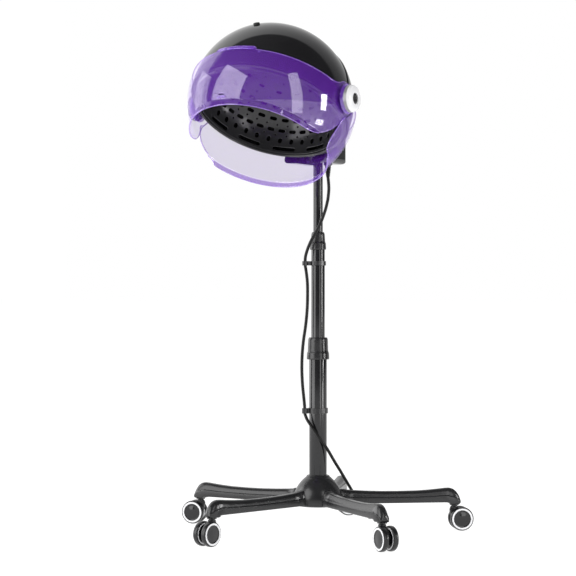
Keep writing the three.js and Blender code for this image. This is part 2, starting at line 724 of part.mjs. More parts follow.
export default root;
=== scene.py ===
"""The looks of a hood hair dryer on a rolling stand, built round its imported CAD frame.

Lengths in the tables below are millimetres. Three local frames are used, each turned into the row frame by
a matrix: MAST stands on the floor under the mast's axis, HOOD has the visor's pivot as X, the hood's back
as +Y and its crown as +Z, and each caster has its stem on Z and trails along +X.
"""
import json
import math

import bpy
import numpy as np
from mathutils import Matrix, Vector
from mathutils.geometry import delaunay_2d_cdt


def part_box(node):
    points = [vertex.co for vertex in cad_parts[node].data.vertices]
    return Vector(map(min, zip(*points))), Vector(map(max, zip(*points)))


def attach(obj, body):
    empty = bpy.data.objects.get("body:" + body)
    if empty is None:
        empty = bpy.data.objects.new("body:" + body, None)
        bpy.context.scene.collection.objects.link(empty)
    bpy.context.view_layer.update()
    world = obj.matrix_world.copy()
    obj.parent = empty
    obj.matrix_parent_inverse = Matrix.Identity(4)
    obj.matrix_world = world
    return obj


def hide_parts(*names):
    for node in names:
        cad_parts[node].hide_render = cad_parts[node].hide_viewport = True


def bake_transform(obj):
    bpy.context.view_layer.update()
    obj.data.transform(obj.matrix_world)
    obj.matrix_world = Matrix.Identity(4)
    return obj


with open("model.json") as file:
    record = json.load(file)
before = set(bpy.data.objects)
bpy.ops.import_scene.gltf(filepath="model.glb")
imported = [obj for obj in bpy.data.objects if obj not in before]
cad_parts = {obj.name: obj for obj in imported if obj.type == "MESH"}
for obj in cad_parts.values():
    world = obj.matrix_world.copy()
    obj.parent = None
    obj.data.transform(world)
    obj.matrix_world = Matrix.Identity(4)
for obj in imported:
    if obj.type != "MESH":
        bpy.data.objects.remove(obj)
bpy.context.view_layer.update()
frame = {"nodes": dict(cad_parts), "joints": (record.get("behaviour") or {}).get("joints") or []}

MM = 0.001
JOINTS = {j["name"]: j for j in frame["joints"]}


def box_middle(node):
    low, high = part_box(node)
    return (low + high) / 2


MAST_AT = box_middle("lower_tube")
MAST = Matrix.Translation((MAST_AT.x, MAST_AT.y, 0)) @ Matrix.Scale(MM, 4)
PITCH = math.radians(-30)
PIVOT = Vector(JOINTS["visor_lift"]["pos_m"])
HOOD = Matrix.Translation(PIVOT) @ Matrix.Rotation(PITCH, 4, "X") @ Matrix.Scale(MM, 4)
LEGS = range(1, 6)


# ---- Materials ----
class Nodes:
    """A node tree, with short calls for the nodes used here."""

    def __init__(self, tree):
        self.tree = tree

    def fill(self, node, inputs):
        """Sets a node's inputs, or links those whose value is another node's output."""
        for key, value in inputs.items():
            if isinstance(value, bpy.types.NodeSocket):
                self.tree.links.new(value, node.inputs[key])
            else:
                node.inputs[key].default_value = value

    def add(self, kind, inputs=None, **settings):
        node = self.tree.nodes.new("ShaderNode" + kind)
        for key, value in settings.items():
            setattr(node, key, value)
        self.fill(node, inputs or {})
        return node

    def noise(self, scale, detail=3.0, roughness=0.5):
        place = self.add("TexCoord").outputs["Object"]
        inputs = {"Scale": scale, "Detail": detail, "Roughness": roughness, "Vector": place}
        return self.add("TexNoise", inputs).outputs["Fac"]

    def spread(self, value, low, high, start=0.3, end=0.7):
        """A value's range from start to end as low to high."""
        ends = {"From Min": start, "From Max": end, "To Min": low, "To Max": high}
        return self.add("MapRange", {**ends, "Value": value}).outputs["Result"]

    def blend(self, factor, a, b):
        colours = {"Factor": factor, "A": (*a, 1), "B": (*b, 1)}
        return self.add("Mix", colours, data_type="RGBA").outputs["Result"]

    def bump(self, height, strength, distance):
        inputs = {"Strength": strength, "Distance": distance, "Height": height}
        return self.add("Bump", inputs).outputs["Normal"]


def new_material(name):
    material = bpy.data.materials.new(name)
    material.use_nodes = True
    tree = material.node_tree
    return material, Nodes(tree), tree.nodes["Principled BSDF"]


def moulded(name, light, dark, roughness, grain, grain_depth, specular=0.5, metallic=0.0):
    """A moulded or painted surface: uneven colour and gloss, and a fine grain."""
    material, n, shader = new_material(name)
    n.fill(shader, {
        "Base Color": n.blend(n.spread(n.noise(14, 4, 0.6), 0, 1), dark, light),
        "Roughness": n.spread(n.noise(55, 3, 0.6), *roughness),
        "Normal": n.bump(n.noise(grain, 2, 0.5), 0.35, grain_depth),
        "Specular IOR Level": specular,
        "Metallic": metallic,
    })
    return material


def clear_plastic(name, colour, dense, see_through, cover, edge_cover):
    """Clear tinted plastic: part of what is behind shows through, and less of it at a glancing angle."""
    material, n, shader = new_material(name)
    n.fill(shader, {
        "Base Color": n.blend(n.spread(n.noise(22, 3, 0.55), 0, 1), dense, colour),
        "Roughness": n.spread(n.noise(70, 2), 0.02, 0.05),
        "Normal": n.bump(n.noise(7, 1, 0.4), 0.03, 0.001),
        "Specular IOR Level": 1.0,
        "IOR": 2.1,
        "Coat Weight": 0.5,
        "Coat Roughness": 0.02,
    })
    glancing = n.add("LayerWeight", {"Blend": 0.3}).outputs["Facing"]
    share = n.spread(glancing, cover, edge_cover, 0.35, 1.0)
    see = n.add("BsdfTransparent", {"Color": (*see_through, 1)}).outputs["BSDF"]
    mix = n.add("MixShader", {"Fac": share, 1: see, 2: shader.outputs["BSDF"]})
    n.fill(n.tree.nodes["Material Output"], {"Surface": mix.outputs["Shader"]})
    return material


MOULDED = {  # lighter and darker colour, roughness from and to, grain's scale and depth, specular, metallic
    "gloss_black": ((0.011, 0.011, 0.012), (0.008, 0.008, 0.009), (0.05, 0.09), 300, 0.00004),
    "gloss_tube": ((0.012, 0.012, 0.013), (0.008, 0.008, 0.009), (0.09, 0.14), 900, 0.00003),
    "satin_plastic": ((0.018, 0.018, 0.019), (0.012, 0.012, 0.013), (0.24, 0.34), 1500, 0.00008),
    "leg_plastic": ((0.018, 0.018, 0.019), (0.012, 0.012, 0.013), (0.2, 0.28), 1400, 0.00006),
    "liner_plastic": ((0.026, 0.026, 0.027), (0.018, 0.018, 0.019), (0.13, 0.2), 1300, 0.00004),
    "white_plastic": ((0.74, 0.74, 0.755), (0.69, 0.69, 0.705), (0.18, 0.26), 700, 0.00003),
    # painted shade: a darker grey, slightly metallic copy of the knob's white, for the band round the knob's
    # side
    "knob_side_painted_shade": ((0.3, 0.3, 0.305), (0.24, 0.24, 0.245), (0.25, 0.34), 900, 0.00003, 0.5, 0.3),
    "ring_plastic": ((0.87, 0.87, 0.88), (0.8, 0.8, 0.82), (0.28, 0.4), 900, 0.00003),
    "grey_plastic": ((0.68, 0.66, 0.7), (0.58, 0.56, 0.61), (0.3, 0.42), 900, 0.00004),
    "rubber": ((0.02, 0.02, 0.02), (0.012, 0.012, 0.012), (0.55, 0.75), 1800, 0.00015),
    "tyre": ((0.009, 0.009, 0.01), (0.006, 0.006, 0.007), (0.22, 0.34), 1500, 0.00006),
    "cord_rubber": ((0.005, 0.005, 0.005), (0.003, 0.003, 0.003), (0.36, 0.46), 1200, 0.00008, 0.25),
    "steel": ((0.62, 0.62, 0.63), (0.48, 0.48, 0.5), (0.2, 0.36), 600, 0.00005, 0.5, 1.0),
    "mica": ((0.5, 0.37, 0.2), (0.36, 0.26, 0.13), (0.55, 0.7), 400, 0.0001),
}
CLEAR = {  # colour, denser colour, tint of what shows through, share covered face on and at the edge
    "clear_purple": ((0.3, 0.045, 0.88), (0.26, 0.035, 0.8), (0.99, 0.985, 0.995), 0.17, 0.24),
    "purple_lip": ((0.28, 0.065, 0.85), (0.22, 0.045, 0.7), (0.92, 0.86, 0.975), 0.38, 0.55),
    "purple_rim": ((0.24, 0.06, 0.7), (0.18, 0.04, 0.55), (0.9, 0.82, 0.97), 0.6, 0.7),
}
MATERIALS = {name: moulded(name, *values) for name, values in MOULDED.items()}
MATERIALS |= {name: clear_plastic(name, *values) for name, values in CLEAR.items()}


# ---- Mesh helpers ----
def mesh_piece(name, points, faces, matrix, materials, slots=None, sharp_deg=40.0):
    """A smooth-shaded mesh from points in a local frame. slots gives each face's place in materials."""
    mesh = bpy.data.meshes.new(name)
    mesh.from_pydata([matrix @ Vector(p) for p in points], [], faces)
    for m in materials:
        mesh.materials.append(MATERIALS[m])
    if slots is not None:
        mesh.polygons.foreach_set("material_index", slots)
    mesh.validate()
    mesh.update()
    mesh.shade_smooth()
    mesh.set_sharp_from_angle(angle=math.radians(sharp_deg))
    made = bpy.data.objects.new(name, mesh)
    bpy.context.scene.collection.objects.link(made)
    return made


def finished(piece, body, slot, *nodes):
    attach(piece, body)
    if nodes:
        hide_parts(*nodes)
    return piece


def rounded(corners, steps=5, closed=False):
    """A line through (x, y, radius) corners, each rounded by its radius."""
    made = []
    count = len(corners)
    for i, corner in enumerate(corners):
        at = np.array(corner[:2], float)
        radius = corner[2] if len(corner) > 2 else 0.0
        if radius <= 0 or (not closed and i in (0, count - 1)):
            made.append(at)
            continue
        before = np.array(corners[i - 1][:2], float) - at
        after = np.array(corners[(i + 1) % count][:2], float) - at
        lengths = [np.linalg.norm(before), np.linalg.norm(after)]
        reach = min(radius, 0.49 * lengths[0], 0.49 * lengths[1])
        a = at + before / lengths[0] * reach
        b = at + after / lengths[1] * reach
        for k in range(steps + 1):
            t = k / steps
            made.append((1 - t) ** 2 * a + 2 * t * (1 - t) * at + t * t * b)
    return np.array(made)


def between(t, u, a, v, b):
    """The point at t on the line that is at a for u and at b for v."""
    return ((v - t) * a + (t - u) * b) / (v - u)


def curve_through(points, per_span=8, closed=False):
    """A smooth line through points of any dimension (centripetal Catmull-Rom)."""
    p = [np.array(q, float) for q in points]
    p = [p[-1], *p, p[0], p[1]] if closed else [2 * p[0] - p[1], *p, 2 * p[-1] - p[-2]]
    made = []
    for i in range(1, len(p) - 2):
        a, b, c, d = p[i - 1:i + 3]
        steps = [max(np.linalg.norm(v - u), 1e-9) ** 0.5 for u, v in ((a, b), (b, c), (c, d))]
        t0, t1, t2, t3 = np.cumsum([0.0, *steps])
        for t in t1 + (t2 - t1) * np.arange(per_span) / per_span:
            first = between(t, t0, a, t1, b)
            second = between(t, t1, b, t2, c)
            third = between(t, t2, c, t3, d)
            early, late = between(t, t0, first, t2, second), between(t, t1, second, t3, third)
            made.append(between(t, t1, early, t2, late))
    if not closed:
        made.append(p[-2])
    return np.array(made)


def filled_in(line, step, closed=False):
    """A line with points added a step apart on its straight stretches."""
    made = []
    for a, b in zip(line, np.roll(line, -1, axis=0) if closed else line[1:]):
        length = max(np.linalg.norm(b - a), 1e-9)
        made += [a + (b - a) * k * step / length for k in range(max(1, int(length // step)))]
    return made if closed else [*made, line[-1]]


def lathe(name, profile, matrix, materials, paint=None, segments=96, shape=None, sharp_deg=40.0):
    """A profile of (radius, height) points turned about Z, closed on the axis or on itself.
    paint(r, z) picks a face's material, and shape(angle, r, z) gives its radius where that isn't plain."""
    profile = [(float(r), float(z)) for r, z in profile]
    ring = profile[0][0] > 1e-6
    points, rows = [], []
    for r, z in profile:
        if r < 1e-6:
            rows.append([len(points)])
            points.append((0, 0, z))
            continue
        rows.append(list(range(len(points), len(points) + segments)))
        for k in range(segments):
            angle = 2 * math.pi * k / segments
            radius = shape(angle, r, z) if shape else r
            points.append((radius * math.cos(angle), radius * math.sin(angle), z))
    faces, slots = [], []
    pairs = list(zip(range(len(rows) - 1), range(1, len(rows))))
    if ring:
        pairs.append((len(rows) - 1, 0))
    for i, j in pairs:
        a, b = rows[i], rows[j]
        middle = ((profile[i][0] + profile[j][0]) / 2, (profile[i][1] + profile[j][1]) / 2)
        if len(a) == len(b) == 1:
            continue
        for k in range(segments):
            n = (k + 1) % segments
            if len(a) == 1:
                faces.append((a[0], b[n], b[k]))
            elif len(b) == 1:
                faces.append((a[k], a[n], b[0]))
            else:
                faces.append((a[k], a[n], b[n], b[k]))
            slots.append(paint(*middle) if paint else 0)
    return mesh_piece(name, points, outward(points, faces), matrix, materials, slots, sharp_deg)


def outward(points, faces):
    """The faces, turned over if together they enclose a negative volume."""
    p = np.array([tuple(q) for q in points], float)
    volume = 0.0
    for f in faces:
        for k in range(1, len(f) - 1):
            volume += np.dot(p[f[0]], np.cross(p[f[k]], p[f[k + 1]]))
    return [tuple(reversed(f)) for f in faces] if volume < 0 else faces


def loft(name, sections, matrix, materials, paint=None, sharp_deg=40.0):
    """A closed solid through cross-sections with the same number of points each, its ends capped."""
    count = len(sections[0])
    points = [tuple(p) for s in sections for p in s]
    faces, slots = [], []
    for i in range(len(sections) - 1):
        for k in range(count):
            n = (k + 1) % count
            faces.append((i * count + k, i * count + n, (i + 1) * count + n, (i + 1) * count + k))
            slots.append(paint(i, k) if paint else 0)
    last = (len(sections) - 1) * count
    faces.append(tuple(range(count - 1, -1, -1)))
    faces.append(tuple(range(last, last + count)))
    slots += [paint(0, 0) if paint else 0, paint(len(sections) - 1, 0) if paint else 0]
    return mesh_piece(name, points, outward(points, faces), matrix, materials, slots, sharp_deg)


def frames_along(line):
    """Two directions square to a line at each of its points, turned as little as possible."""
    tangents = np.gradient(line, axis=0)
    tangents /= np.linalg.norm(tangents, axis=1)[:, None]
    side = np.cross(tangents[0], (0, 0, 1) if abs(tangents[0][2]) < 0.9 else (1, 0, 0))
    side /= np.linalg.norm(side)
    made = []
    for t in tangents:
        side = side - np.dot(side, t) * t
        side /= np.linalg.norm(side)
        made.append((side.copy(), np.cross(t, side)))
    return made


def swept(name, line, radius, matrix, material, sides=20, bulge=None):
    """A round tube along a line, with closed ends. bulge(i) gives a point's radius where it isn't plain."""
    sections = []
    turns = [2 * math.pi * k / sides for k in range(sides)]
    for i, (p, (a, b)) in enumerate(zip(line, frames_along(line))):
        r = bulge(i) if bulge else radius
        sections.append([p + r * (math.cos(t) * a + math.sin(t) * b) for t in turns])
    return loft(name, sections, matrix, [material], sharp_deg=60)


class Revolved:
    """A surface turned about Z, from a profile of (radius, height) points; s is the length along it."""

    def __init__(self, profile, samples=600):
        p = np.array(profile, float)
        lengths = np.r_[0, np.cumsum(np.linalg.norm(np.diff(p, axis=0), axis=1))]
        self.length = lengths[-1]
        self.s = np.linspace(0, self.length, samples)
        self.r = np.interp(self.s, lengths, p[:, 0])
        self.z = np.interp(self.s, lengths, p[:, 1])
        slope_r = np.gradient(self.r, self.s)
        slope_z = np.gradient(self.z, self.s)
        size = np.hypot(slope_r, slope_z)
        self.nr, self.nz = -slope_z / size, slope_r / size

    def s_at_z(self, z):
        order = np.argsort(self.z)
        return float(np.interp(z, self.z[order], self.s[order]))

    def s_at_r(self, r):
        """For the part from the pole to the widest point."""
        top = int(np.argmax(self.r))
        return float(np.interp(r, self.r[:top + 1], self.s[:top + 1]))

    def r_at(self, s):
        return np.interp(s, self.s, self.r)

    def at(self, s, angle):
        """The points and outward normals at lengths s and angles from +X."""
        r, z = self.r_at(s), np.interp(s, self.s, self.z)
        nr, nz = np.interp(s, self.s, self.nr), np.interp(s, self.s, self.nz)
        c, w = np.cos(angle), np.sin(angle)
        return np.stack([r * c, r * w, z], 1), np.stack([nr * c, nr * w, nz], 1)


def inside(points, loop):
    """Which points lie in a closed loop."""
    x, y = points[:, 0], points[:, 1]
    found = np.zeros(len(points), bool)
    a, b = loop, np.roll(loop, -1, axis=0)
    for (x0, y0), (x1, y1) in zip(a, b):
        crosses = (y0 > y) != (y1 > y)
        if crosses.any():
            at = (x1 - x0) * (y - y0) / (y1 - y0 + 1e-30) + x0
            found ^= crosses & (x < at)
    return found


def resampled(loop, step):
    """A closed loop with points a step apart, its sharp corners kept as near as that allows."""
    p = np.vstack([loop, loop[:1]])
    lengths = np.r_[0, np.cumsum(np.linalg.norm(np.diff(p, axis=0), axis=1))]
    count = max(8, int(round(lengths[-1] / step)))
    at = np.linspace(0, lengths[-1], count, endpoint=False)
    return np.stack([np.interp(at, lengths, p[:, k]) for k in range(2)], 1)


def sheet_mesh(outline, holes, seeds, clear):
    """Triangles that fill an outline less its holes, through the seed points not too close to an edge."""
    loops = [outline, *holes]
    edge_points = np.vstack(loops)
    keep = inside(seeds, outline)
    for hole in holes:
        low, high = hole.min(0) - clear, hole.max(0) + clear
        near = keep & (seeds > low).all(1) & (seeds < high).all(1)
        if near.any():
            keep[np.where(near)[0][inside(seeds[near], hole)]] = False
    seeds = seeds[keep]
    far = np.ones(len(seeds), bool)
    for start in range(0, len(edge_points), 256):
        part = edge_points[start:start + 256]
        gap = ((seeds[:, None, :] - part[None]) ** 2).sum(2).min(1)
        far &= gap > clear * clear
    seeds = seeds[far]
    points = np.vstack([edge_points, seeds])
    edges, owner, start = [], [], 0
    for number, loop in enumerate(loops):
        count = len(loop)
        edges += [(start + k, start + (k + 1) % count) for k in range(count)]
        owner += [number] * count
        start += count
    owner += [-1] * len(seeds)
    made = delaunay_2d_cdt([Vector(p) for p in points], edges, [], 0, 1e-7)
    back = [ids[0] for ids in made[3]]
    triangles = []
    for face in made[2]:
        t = [back[k] for k in face]
        o = {owner[k] for k in t}
        if len(o) == 1 and o != {-1}:
            middle = points[t].mean(0)[None]
            number = o.pop()
            if number > 0 or not inside(middle, outline)[0]:
                continue
        triangles.append(t)
    return points, triangles, loops


def shell(name, place, outline, holes, seeds, thickness, clear, matrix, materials, rim_slot=0, rim_rows=5,
          zone=None):
    """A wall of even thickness over a flat pattern, with every edge rounded over.
    place(uv) gives points on its outer face and the normals there. Edge faces take the material rim_slot, and
    zone(point) gives the other faces' one."""
    flat, triangles, loops = sheet_mesh(outline, holes, seeds, clear)
    outer, normals = place(flat)
    inner = outer - thickness * normals
    points = [*outer, *inner]
    shading = [*normals, *-normals]
    n = len(flat)
    faces, slots = [], []
    for a, b, c in triangles:
        facing = np.dot(np.cross(outer[b] - outer[a], outer[c] - outer[a]), normals[a])
        t = (a, b, c) if facing > 0 else (a, c, b)
        slot = zone((outer[a] + outer[b] + outer[c]) / 3) if zone else 0
        faces += [t, (t[0] + n, t[2] + n, t[1] + n)]
        slots += [slot, slot]
    start = 0
    for number, loop in enumerate(loops):
        count = len(loop)
        ids = np.arange(start, start + count)
        tangent = np.roll(outer[ids], -1, axis=0) - np.roll(outer[ids], 1, axis=0)
        tangent /= np.linalg.norm(tangent, axis=1)[:, None]
        away = np.cross(tangent, normals[ids])
        outwards = loop[:1] - loop.mean(0)
        probe = place(loop[:1] + 0.5 * outwards / np.linalg.norm(outwards))[0]
        out_of_loop = probe[0] - outer[ids[0]]
        if (np.dot(away[0], out_of_loop) > 0) != (number == 0):
            away = -away
        rows = [ids]
        for k in range(1, rim_rows):
            turn = math.pi * k / rim_rows
            facing = math.cos(turn) * normals[ids] + math.sin(turn) * away
            rows.append(np.arange(len(points), len(points) + count))
            points += list(outer[ids] + thickness / 2 * (facing - normals[ids]))
            shading += list(facing)
        rows.append(ids + n)
        for i in range(len(rows) - 1):
            a, b = rows[i], rows[i + 1]
            for k in range(count):
                m = (k + 1) % count
                quad = (a[k], a[m], b[m], b[k])
                across = np.cross(points[quad[1]] - points[quad[0]], points[quad[3]] - points[quad[0]])
                middle = outer[ids[k]] - thickness / 2 * normals[ids[k]]
                centre = sum(points[q] for q in quad) / 4
                if np.dot(across, centre - middle) < 0:
                    quad = quad[::-1]
                faces.append(tuple(int(q) for q in quad))
                slots.append(rim_slot)
        start += count
    piece = mesh_piece(name, points, faces, matrix, materials, slots, 50)
    turned = matrix.to_3x3()
    piece.data.normals_split_custom_set_from_vertices([(turned @ Vector(v)).normalized() for v in shading])
    return piece


def hex_grid(u_range, v_values, du):
    """Rows of points at the heights v_values, du apart, each row shifted by half a step."""
    rows = []
    for i, v in enumerate(v_values):
        u = np.arange(u_range[0] + (i % 2) * du / 2, u_range[1], du)
        rows.append(np.stack([u, np.full(len(u), v)], 1))
    return np.vstack(rows)


def polar_grid(s_values, step):
    """Rings of points round a pole, about a step apart."""
    rings = [np.zeros((1, 2))]
    for i, s in enumerate(s_values):
        count = max(6, int(round(2 * math.pi * s / step)))
        turns = 2 * math.pi * (np.arange(count) + 0.5 * (i % 2)) / count
        rings.append(np.stack([s * np.cos(turns), s * np.sin(turns)], 1))
    return np.vstack(rings)


def ellipse_arc(r, height, z0, z1, steps=48, centre=0.0):
    """(radius, height) points of an ellipse from z0 to z1."""
    a0, a1 = math.asin((z0 - centre) / height), math.asin((z1 - centre) / height)
    turns = np.linspace(a0, a1, steps + 1)
    return [(r * math.cos(t), centre + height * math.sin(t)) for t in turns]


def on_arc(start_deg, end_deg, radius, steps, centre=(0.0, 0.0)):
    """Points of a circle from one angle to another."""
    turns = np.radians(np.linspace(start_deg, end_deg, steps + 1))
    return [(centre[0] + radius * math.cos(t), centre[1] + radius * math.sin(t)) for t in turns]


# ---- Camera ----
VIEW_FROM = Vector((1.84192, -3.2409, 0.5127))
VIEW_DEG = 30.0
SENSOR_MM = 36
LENS_MM = 111.25
camera_data = bpy.data.cameras.new("camera")
camera_data.sensor_width = SENSOR_MM
camera_data.lens = LENS_MM
camera = bpy.data.objects.new("camera", camera_data)
camera.location = VIEW_FROM
camera.rotation_euler = (math.pi / 2, 0, math.radians(VIEW_DEG))
bpy.context.scene.collection.objects.link(camera)
bpy.context.scene.camera = camera

# ---- Cord ----
# The route's points, from the gland under the rear housing to the coil on the floor behind the stand.
CORD_R = 3.25
RELIEF_TOP = (32, -15, 771.7)
RELIEF_END = (32, -15, 744)
HEAD_CORD = [(32, -15, 743.7), (33.1, -14.4, 732), (33.1, -13.2, 718), (31.1, -13.8, 697)]
UPPER_CORD = [
    (31, -13.9, 696), (26.5, -15.9, 676), (18.2, -19.5, 651), (8.2, -23, 630), (-2.4, -25.6, 611),
    (-11.6, -24, 594), (-18.6, -20.4, 579), (-20.4, -18.8, 570), (-20.4, -18.7, 565),
]
MIDDLE_CORD = [
    (-20.4, -18.7, 564.4), (-20.2, -18.7, 559), (-18.2, -18.6, 548), (-15, -19, 525), (-14.1, -19.7, 495),
    (-14.9, -20.2, 467), (-17.5, -21.7, 435), (-21.8, -24.2, 400), (-24, -25.4, 370), (-24.4, -25.7, 340),
    (-23.2, -25, 310), (-21, -23.7, 284), (-19.4, -22.8, 264), (-19.2, -22.7, 249.8),
]
LOWER_CORD = [
    (-18.6, -22.9, 248), (-12.6, -24.7, 237.5), (-1, -25.8, 224), (13, -22.5, 204), (26.1, -8, 177),
    (34.9, 7.5, 150), (39.9, 24.2, 129), (43.7, 43.7, 106), (46.1, 62.4, 86), (42.7, 94, 63),
    (35, 133.4, 39), (21.9, 180.1, 17), (7.2, 223.5, 6), (-11, 265, 3.6), (-32.9, 310.1, 3.6),
    (-57.1, 353.9, 3.6), (-78.7, 393.3, 3.6), (-100, 430.4, 3.6),
]
COIL_AT = (-147.7, 430.9)
COIL_INNER_R = 34.7
COIL_OUTER_R = 41.3
COIL_START = math.radians(30)
TURN_IN_AT = (COIL_AT[0] - 14.5, COIL_AT[1] - 1.77)
TURN_IN_R = 26.7
PLUG_AT = (-123.4, 420.8)
PLUG_HEADING = math.radians(30)
NECK_LENGTH = 29.5
NECK_Z = 21.4


def coil_line():
    """Nearly two turns in the lower layer, then one and a half above them, ready to turn in to the plug."""
    low, high = CORD_R + 0.2, 3 * CORD_R + 0.3
    stages = np.array([  # turns, radius, height
        (0.0, COIL_OUTER_R + 0.9, low), (0.1, COIL_OUTER_R + 0.3, low), (0.8, COIL_OUTER_R, low),
        (0.97, COIL_INNER_R, low), (1.8, COIL_INNER_R, low), (1.97, COIL_INNER_R, high),
        (2.8, COIL_INNER_R, high), (3.0, COIL_OUTER_R, high), (3.25, COIL_OUTER_R, high),
        (3.436, COIL_OUTER_R, high + 6.7),
    ])
    turns = np.linspace(0.0, stages[-1, 0], 150)
    radius, height = (np.interp(turns, stages[:, 0], stages[:, k]) for k in (1, 2))
    at = COIL_START + 2 * math.pi * turns
    return np.stack([COIL_AT[0] + radius * np.cos(at), COIL_AT[1] + radius * np.sin(at), height], 1)


def turn_in(start_height, end_height):
    """The last bend, over the coil's inside, from its left round to the plug's neck."""
    turns = np.radians(np.linspace(187, 300, 30))[1:]
    height = np.linspace(start_height, end_height, 30)[1:]
    x, y = TURN_IN_AT
    return np.stack([x + TURN_IN_R * np.cos(turns), y + TURN_IN_R * np.sin(turns), height], 1)


def smooth_line(line, rounds):
    for _ in range(rounds):
        line[1:-1] = (line[:-2] + 2 * line[1:-1] + line[2:]) / 4
    return line


def resampled_line(line, step):
    """A line with its points an even step apart."""
    lengths = np.r_[0, np.cumsum(np.linalg.norm(np.diff(line, axis=0), axis=1))]
    at = np.linspace(0, lengths[-1], int(lengths[-1] / step) + 1)
    return np.stack([np.interp(at, lengths, line[:, k]) for k in range(3)], 1)


def cord_piece(name, line, nodes, body=None):
    made = swept(name, line, CORD_R, MAST, "cord_rubber", 18)
    if body:
        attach(made, body)
    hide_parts(*nodes)
    return made


def relief_piece():
    """The tapered boot where the cord leaves the housing: a flange, then ribs that get smaller."""
    top, bottom = RELIEF_TOP[2], RELIEF_END[2]
    profile = [(0, bottom), (CORD_R + 0.7, bottom)]
    ribs = 6
    for i in range(ribs):
        z = bottom + 1.2 + i * 3.4
        r = CORD_R + 1.1 + i * 0.42
        profile += [(r - 0.9, z), (r, z + 0.5), (r + 0.1, z + 2.2), (r - 0.8, z + 2.7)]
    profile += [(6.3, top - 5.2), (6.4, top - 3.6), (8.6, top - 3.2), (9, top - 2.6), (9, top), (0, top)]
    matrix = MAST @ Matrix.Translation((RELIEF_TOP[0], RELIEF_TOP[1], 0))
    made = lathe("cord_boot", profile, matrix, ["cord_rubber"], segments=40)
    return finished(made, "head", "cord_rubber", "cord_relief")


def plug_piece():
    """A moulded two-blade plug with a ribbed neck, lying on the coil."""
    base = MAST @ Matrix.Translation((*PLUG_AT, 13.6)) @ Matrix.Rotation(PLUG_HEADING, 4, "Z")
    sections = []
    stations = [  # x, half width, lower z, upper z
        (-14, 6, 3.6, 12.0), (-13.2, 7.6, 2.2, 13.4), (-10, 8.8, 1.0, 14.8), (-4, 8.0, 0.6, 15.2),
        (3, 8.2, 0.5, 15.3), (10, 9.6, 0.4, 15.6), (13.2, 9.9, 0.5, 15.5), (14, 9.2, 1.2, 14.8),
    ]
    for x, half, low, high in stations:
        ring = rounded([(-half, low, 4), (half, low, 4), (half, high, 4), (-half, high, 4)], 5, closed=True)
        sections.append([(x, y, z) for y, z in ring])
    body = loft("plug_body", sections, base, ["cord_rubber"])
    finished(body, "base", "cord_rubber", "mains_plug")
    line = np.array([(x, 0.0, 7.8) for x in np.linspace(-30, -12.5, 36)])
    neck = swept(
        "plug_neck", line, 4.2, base, "cord_rubber", 24,
        bulge=lambda i: (3.9 if (i // 3) % 2 else 4.5) + 0.02 * i,
    )
    parts = [finished(neck, "base", "cord_rubber")]
    corners = [
        (13, 5.2, 0.2), (28.5, 5.2, 1.4), (31, 6.6, 1.0), (31, 9.4, 1.0), (28.5, 10.8, 1.4), (13, 10.8, 0.2),
    ]
    flat = rounded(corners, 4, closed=True)
    for y, word in ((-6.35, "left"), (6.35, "right")):
        sections = [[(x, y + d, z) for x, z in flat] for d in (-0.75, 0.75)]
        blade = loft(f"plug_blade_{word}", sections, base, ["steel"], sharp_deg=30)
        parts.append(finished(blade, "base", "steel"))
    for part in parts:
        part.parent = body
        part.matrix_parent_inverse = body.matrix_world.inverted()
    return body


def build_cord():
    boot = relief_piece()
    runs = [  # name, points, where it leaves, the bodies at its two ends, what comes with it
        ("head", [RELIEF_END, *HEAD_CORD[1:], UPPER_CORD[0]], RELIEF_END, "head", "upper_stage", [boot]),
        ("upper", UPPER_CORD, UPPER_CORD[0], "upper_stage", "middle_stage", []),
        ("middle", [UPPER_CORD[-1], *MIDDLE_CORD[1:]], MIDDLE_CORD[0], "middle_stage", "base", []),
    ]
    for name, points, exit_at, above, below, extra in runs:
        line = curve_through(points, 10)
        run = cord_piece(f"cord_{name}", line, [f"mains_cord_{name}"])
        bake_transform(run)
    route = curve_through([MIDDLE_CORD[-1], *LOWER_CORD[1:], (-105.5, 440.0, 3.6)], 10)
    coil = coil_line()
    plug = plug_piece()
    heading = np.array([math.cos(PLUG_HEADING), math.sin(PLUG_HEADING)])
    neck_end = [*(np.array(PLUG_AT) - NECK_LENGTH * heading), NECK_Z]
    line = np.vstack([route[:-1], coil, turn_in(coil[-1][2], NECK_Z), [neck_end]])
    line = smooth_line(resampled_line(line, 3.0), 6)
    nodes = ["mains_cord_lower", "cord_coil"]
    cord_piece("cord_lower", line, nodes, "base")


build_cord()

# ---- Mast ----
TUBES = {  # radius, bore, bottom, top, body
    "lower_tube": (18.5, 16.5, 99, 394, "base"),
    "middle_tube": (14.25, 12.2, 215, 614.7, "middle_stage"),
    "upper_tube": (10, 8, 380, 789, "upper_stage"),
}


def build_tubes():
    for name, (r, bore, bottom, top, body) in TUBES.items():
        corners = [(bore, bottom, 0.4), (r, bottom, 0.6), (r, top, 0.6), (bore, top, 0.4)]
        ends = rounded(corners, 4, closed=True)
        piece = lathe(name + "_drawn", ends, MAST, ["gloss_tube"], segments=128)
        finished(piece, body, "gloss_tube", name)


COLLAR_SLITS_DEG = (-36.0, -14.0)  # a spring tongue lies between two slits
SLIT_HALF_WIDTH = 0.85
SLIT_DEPTH = 1.6


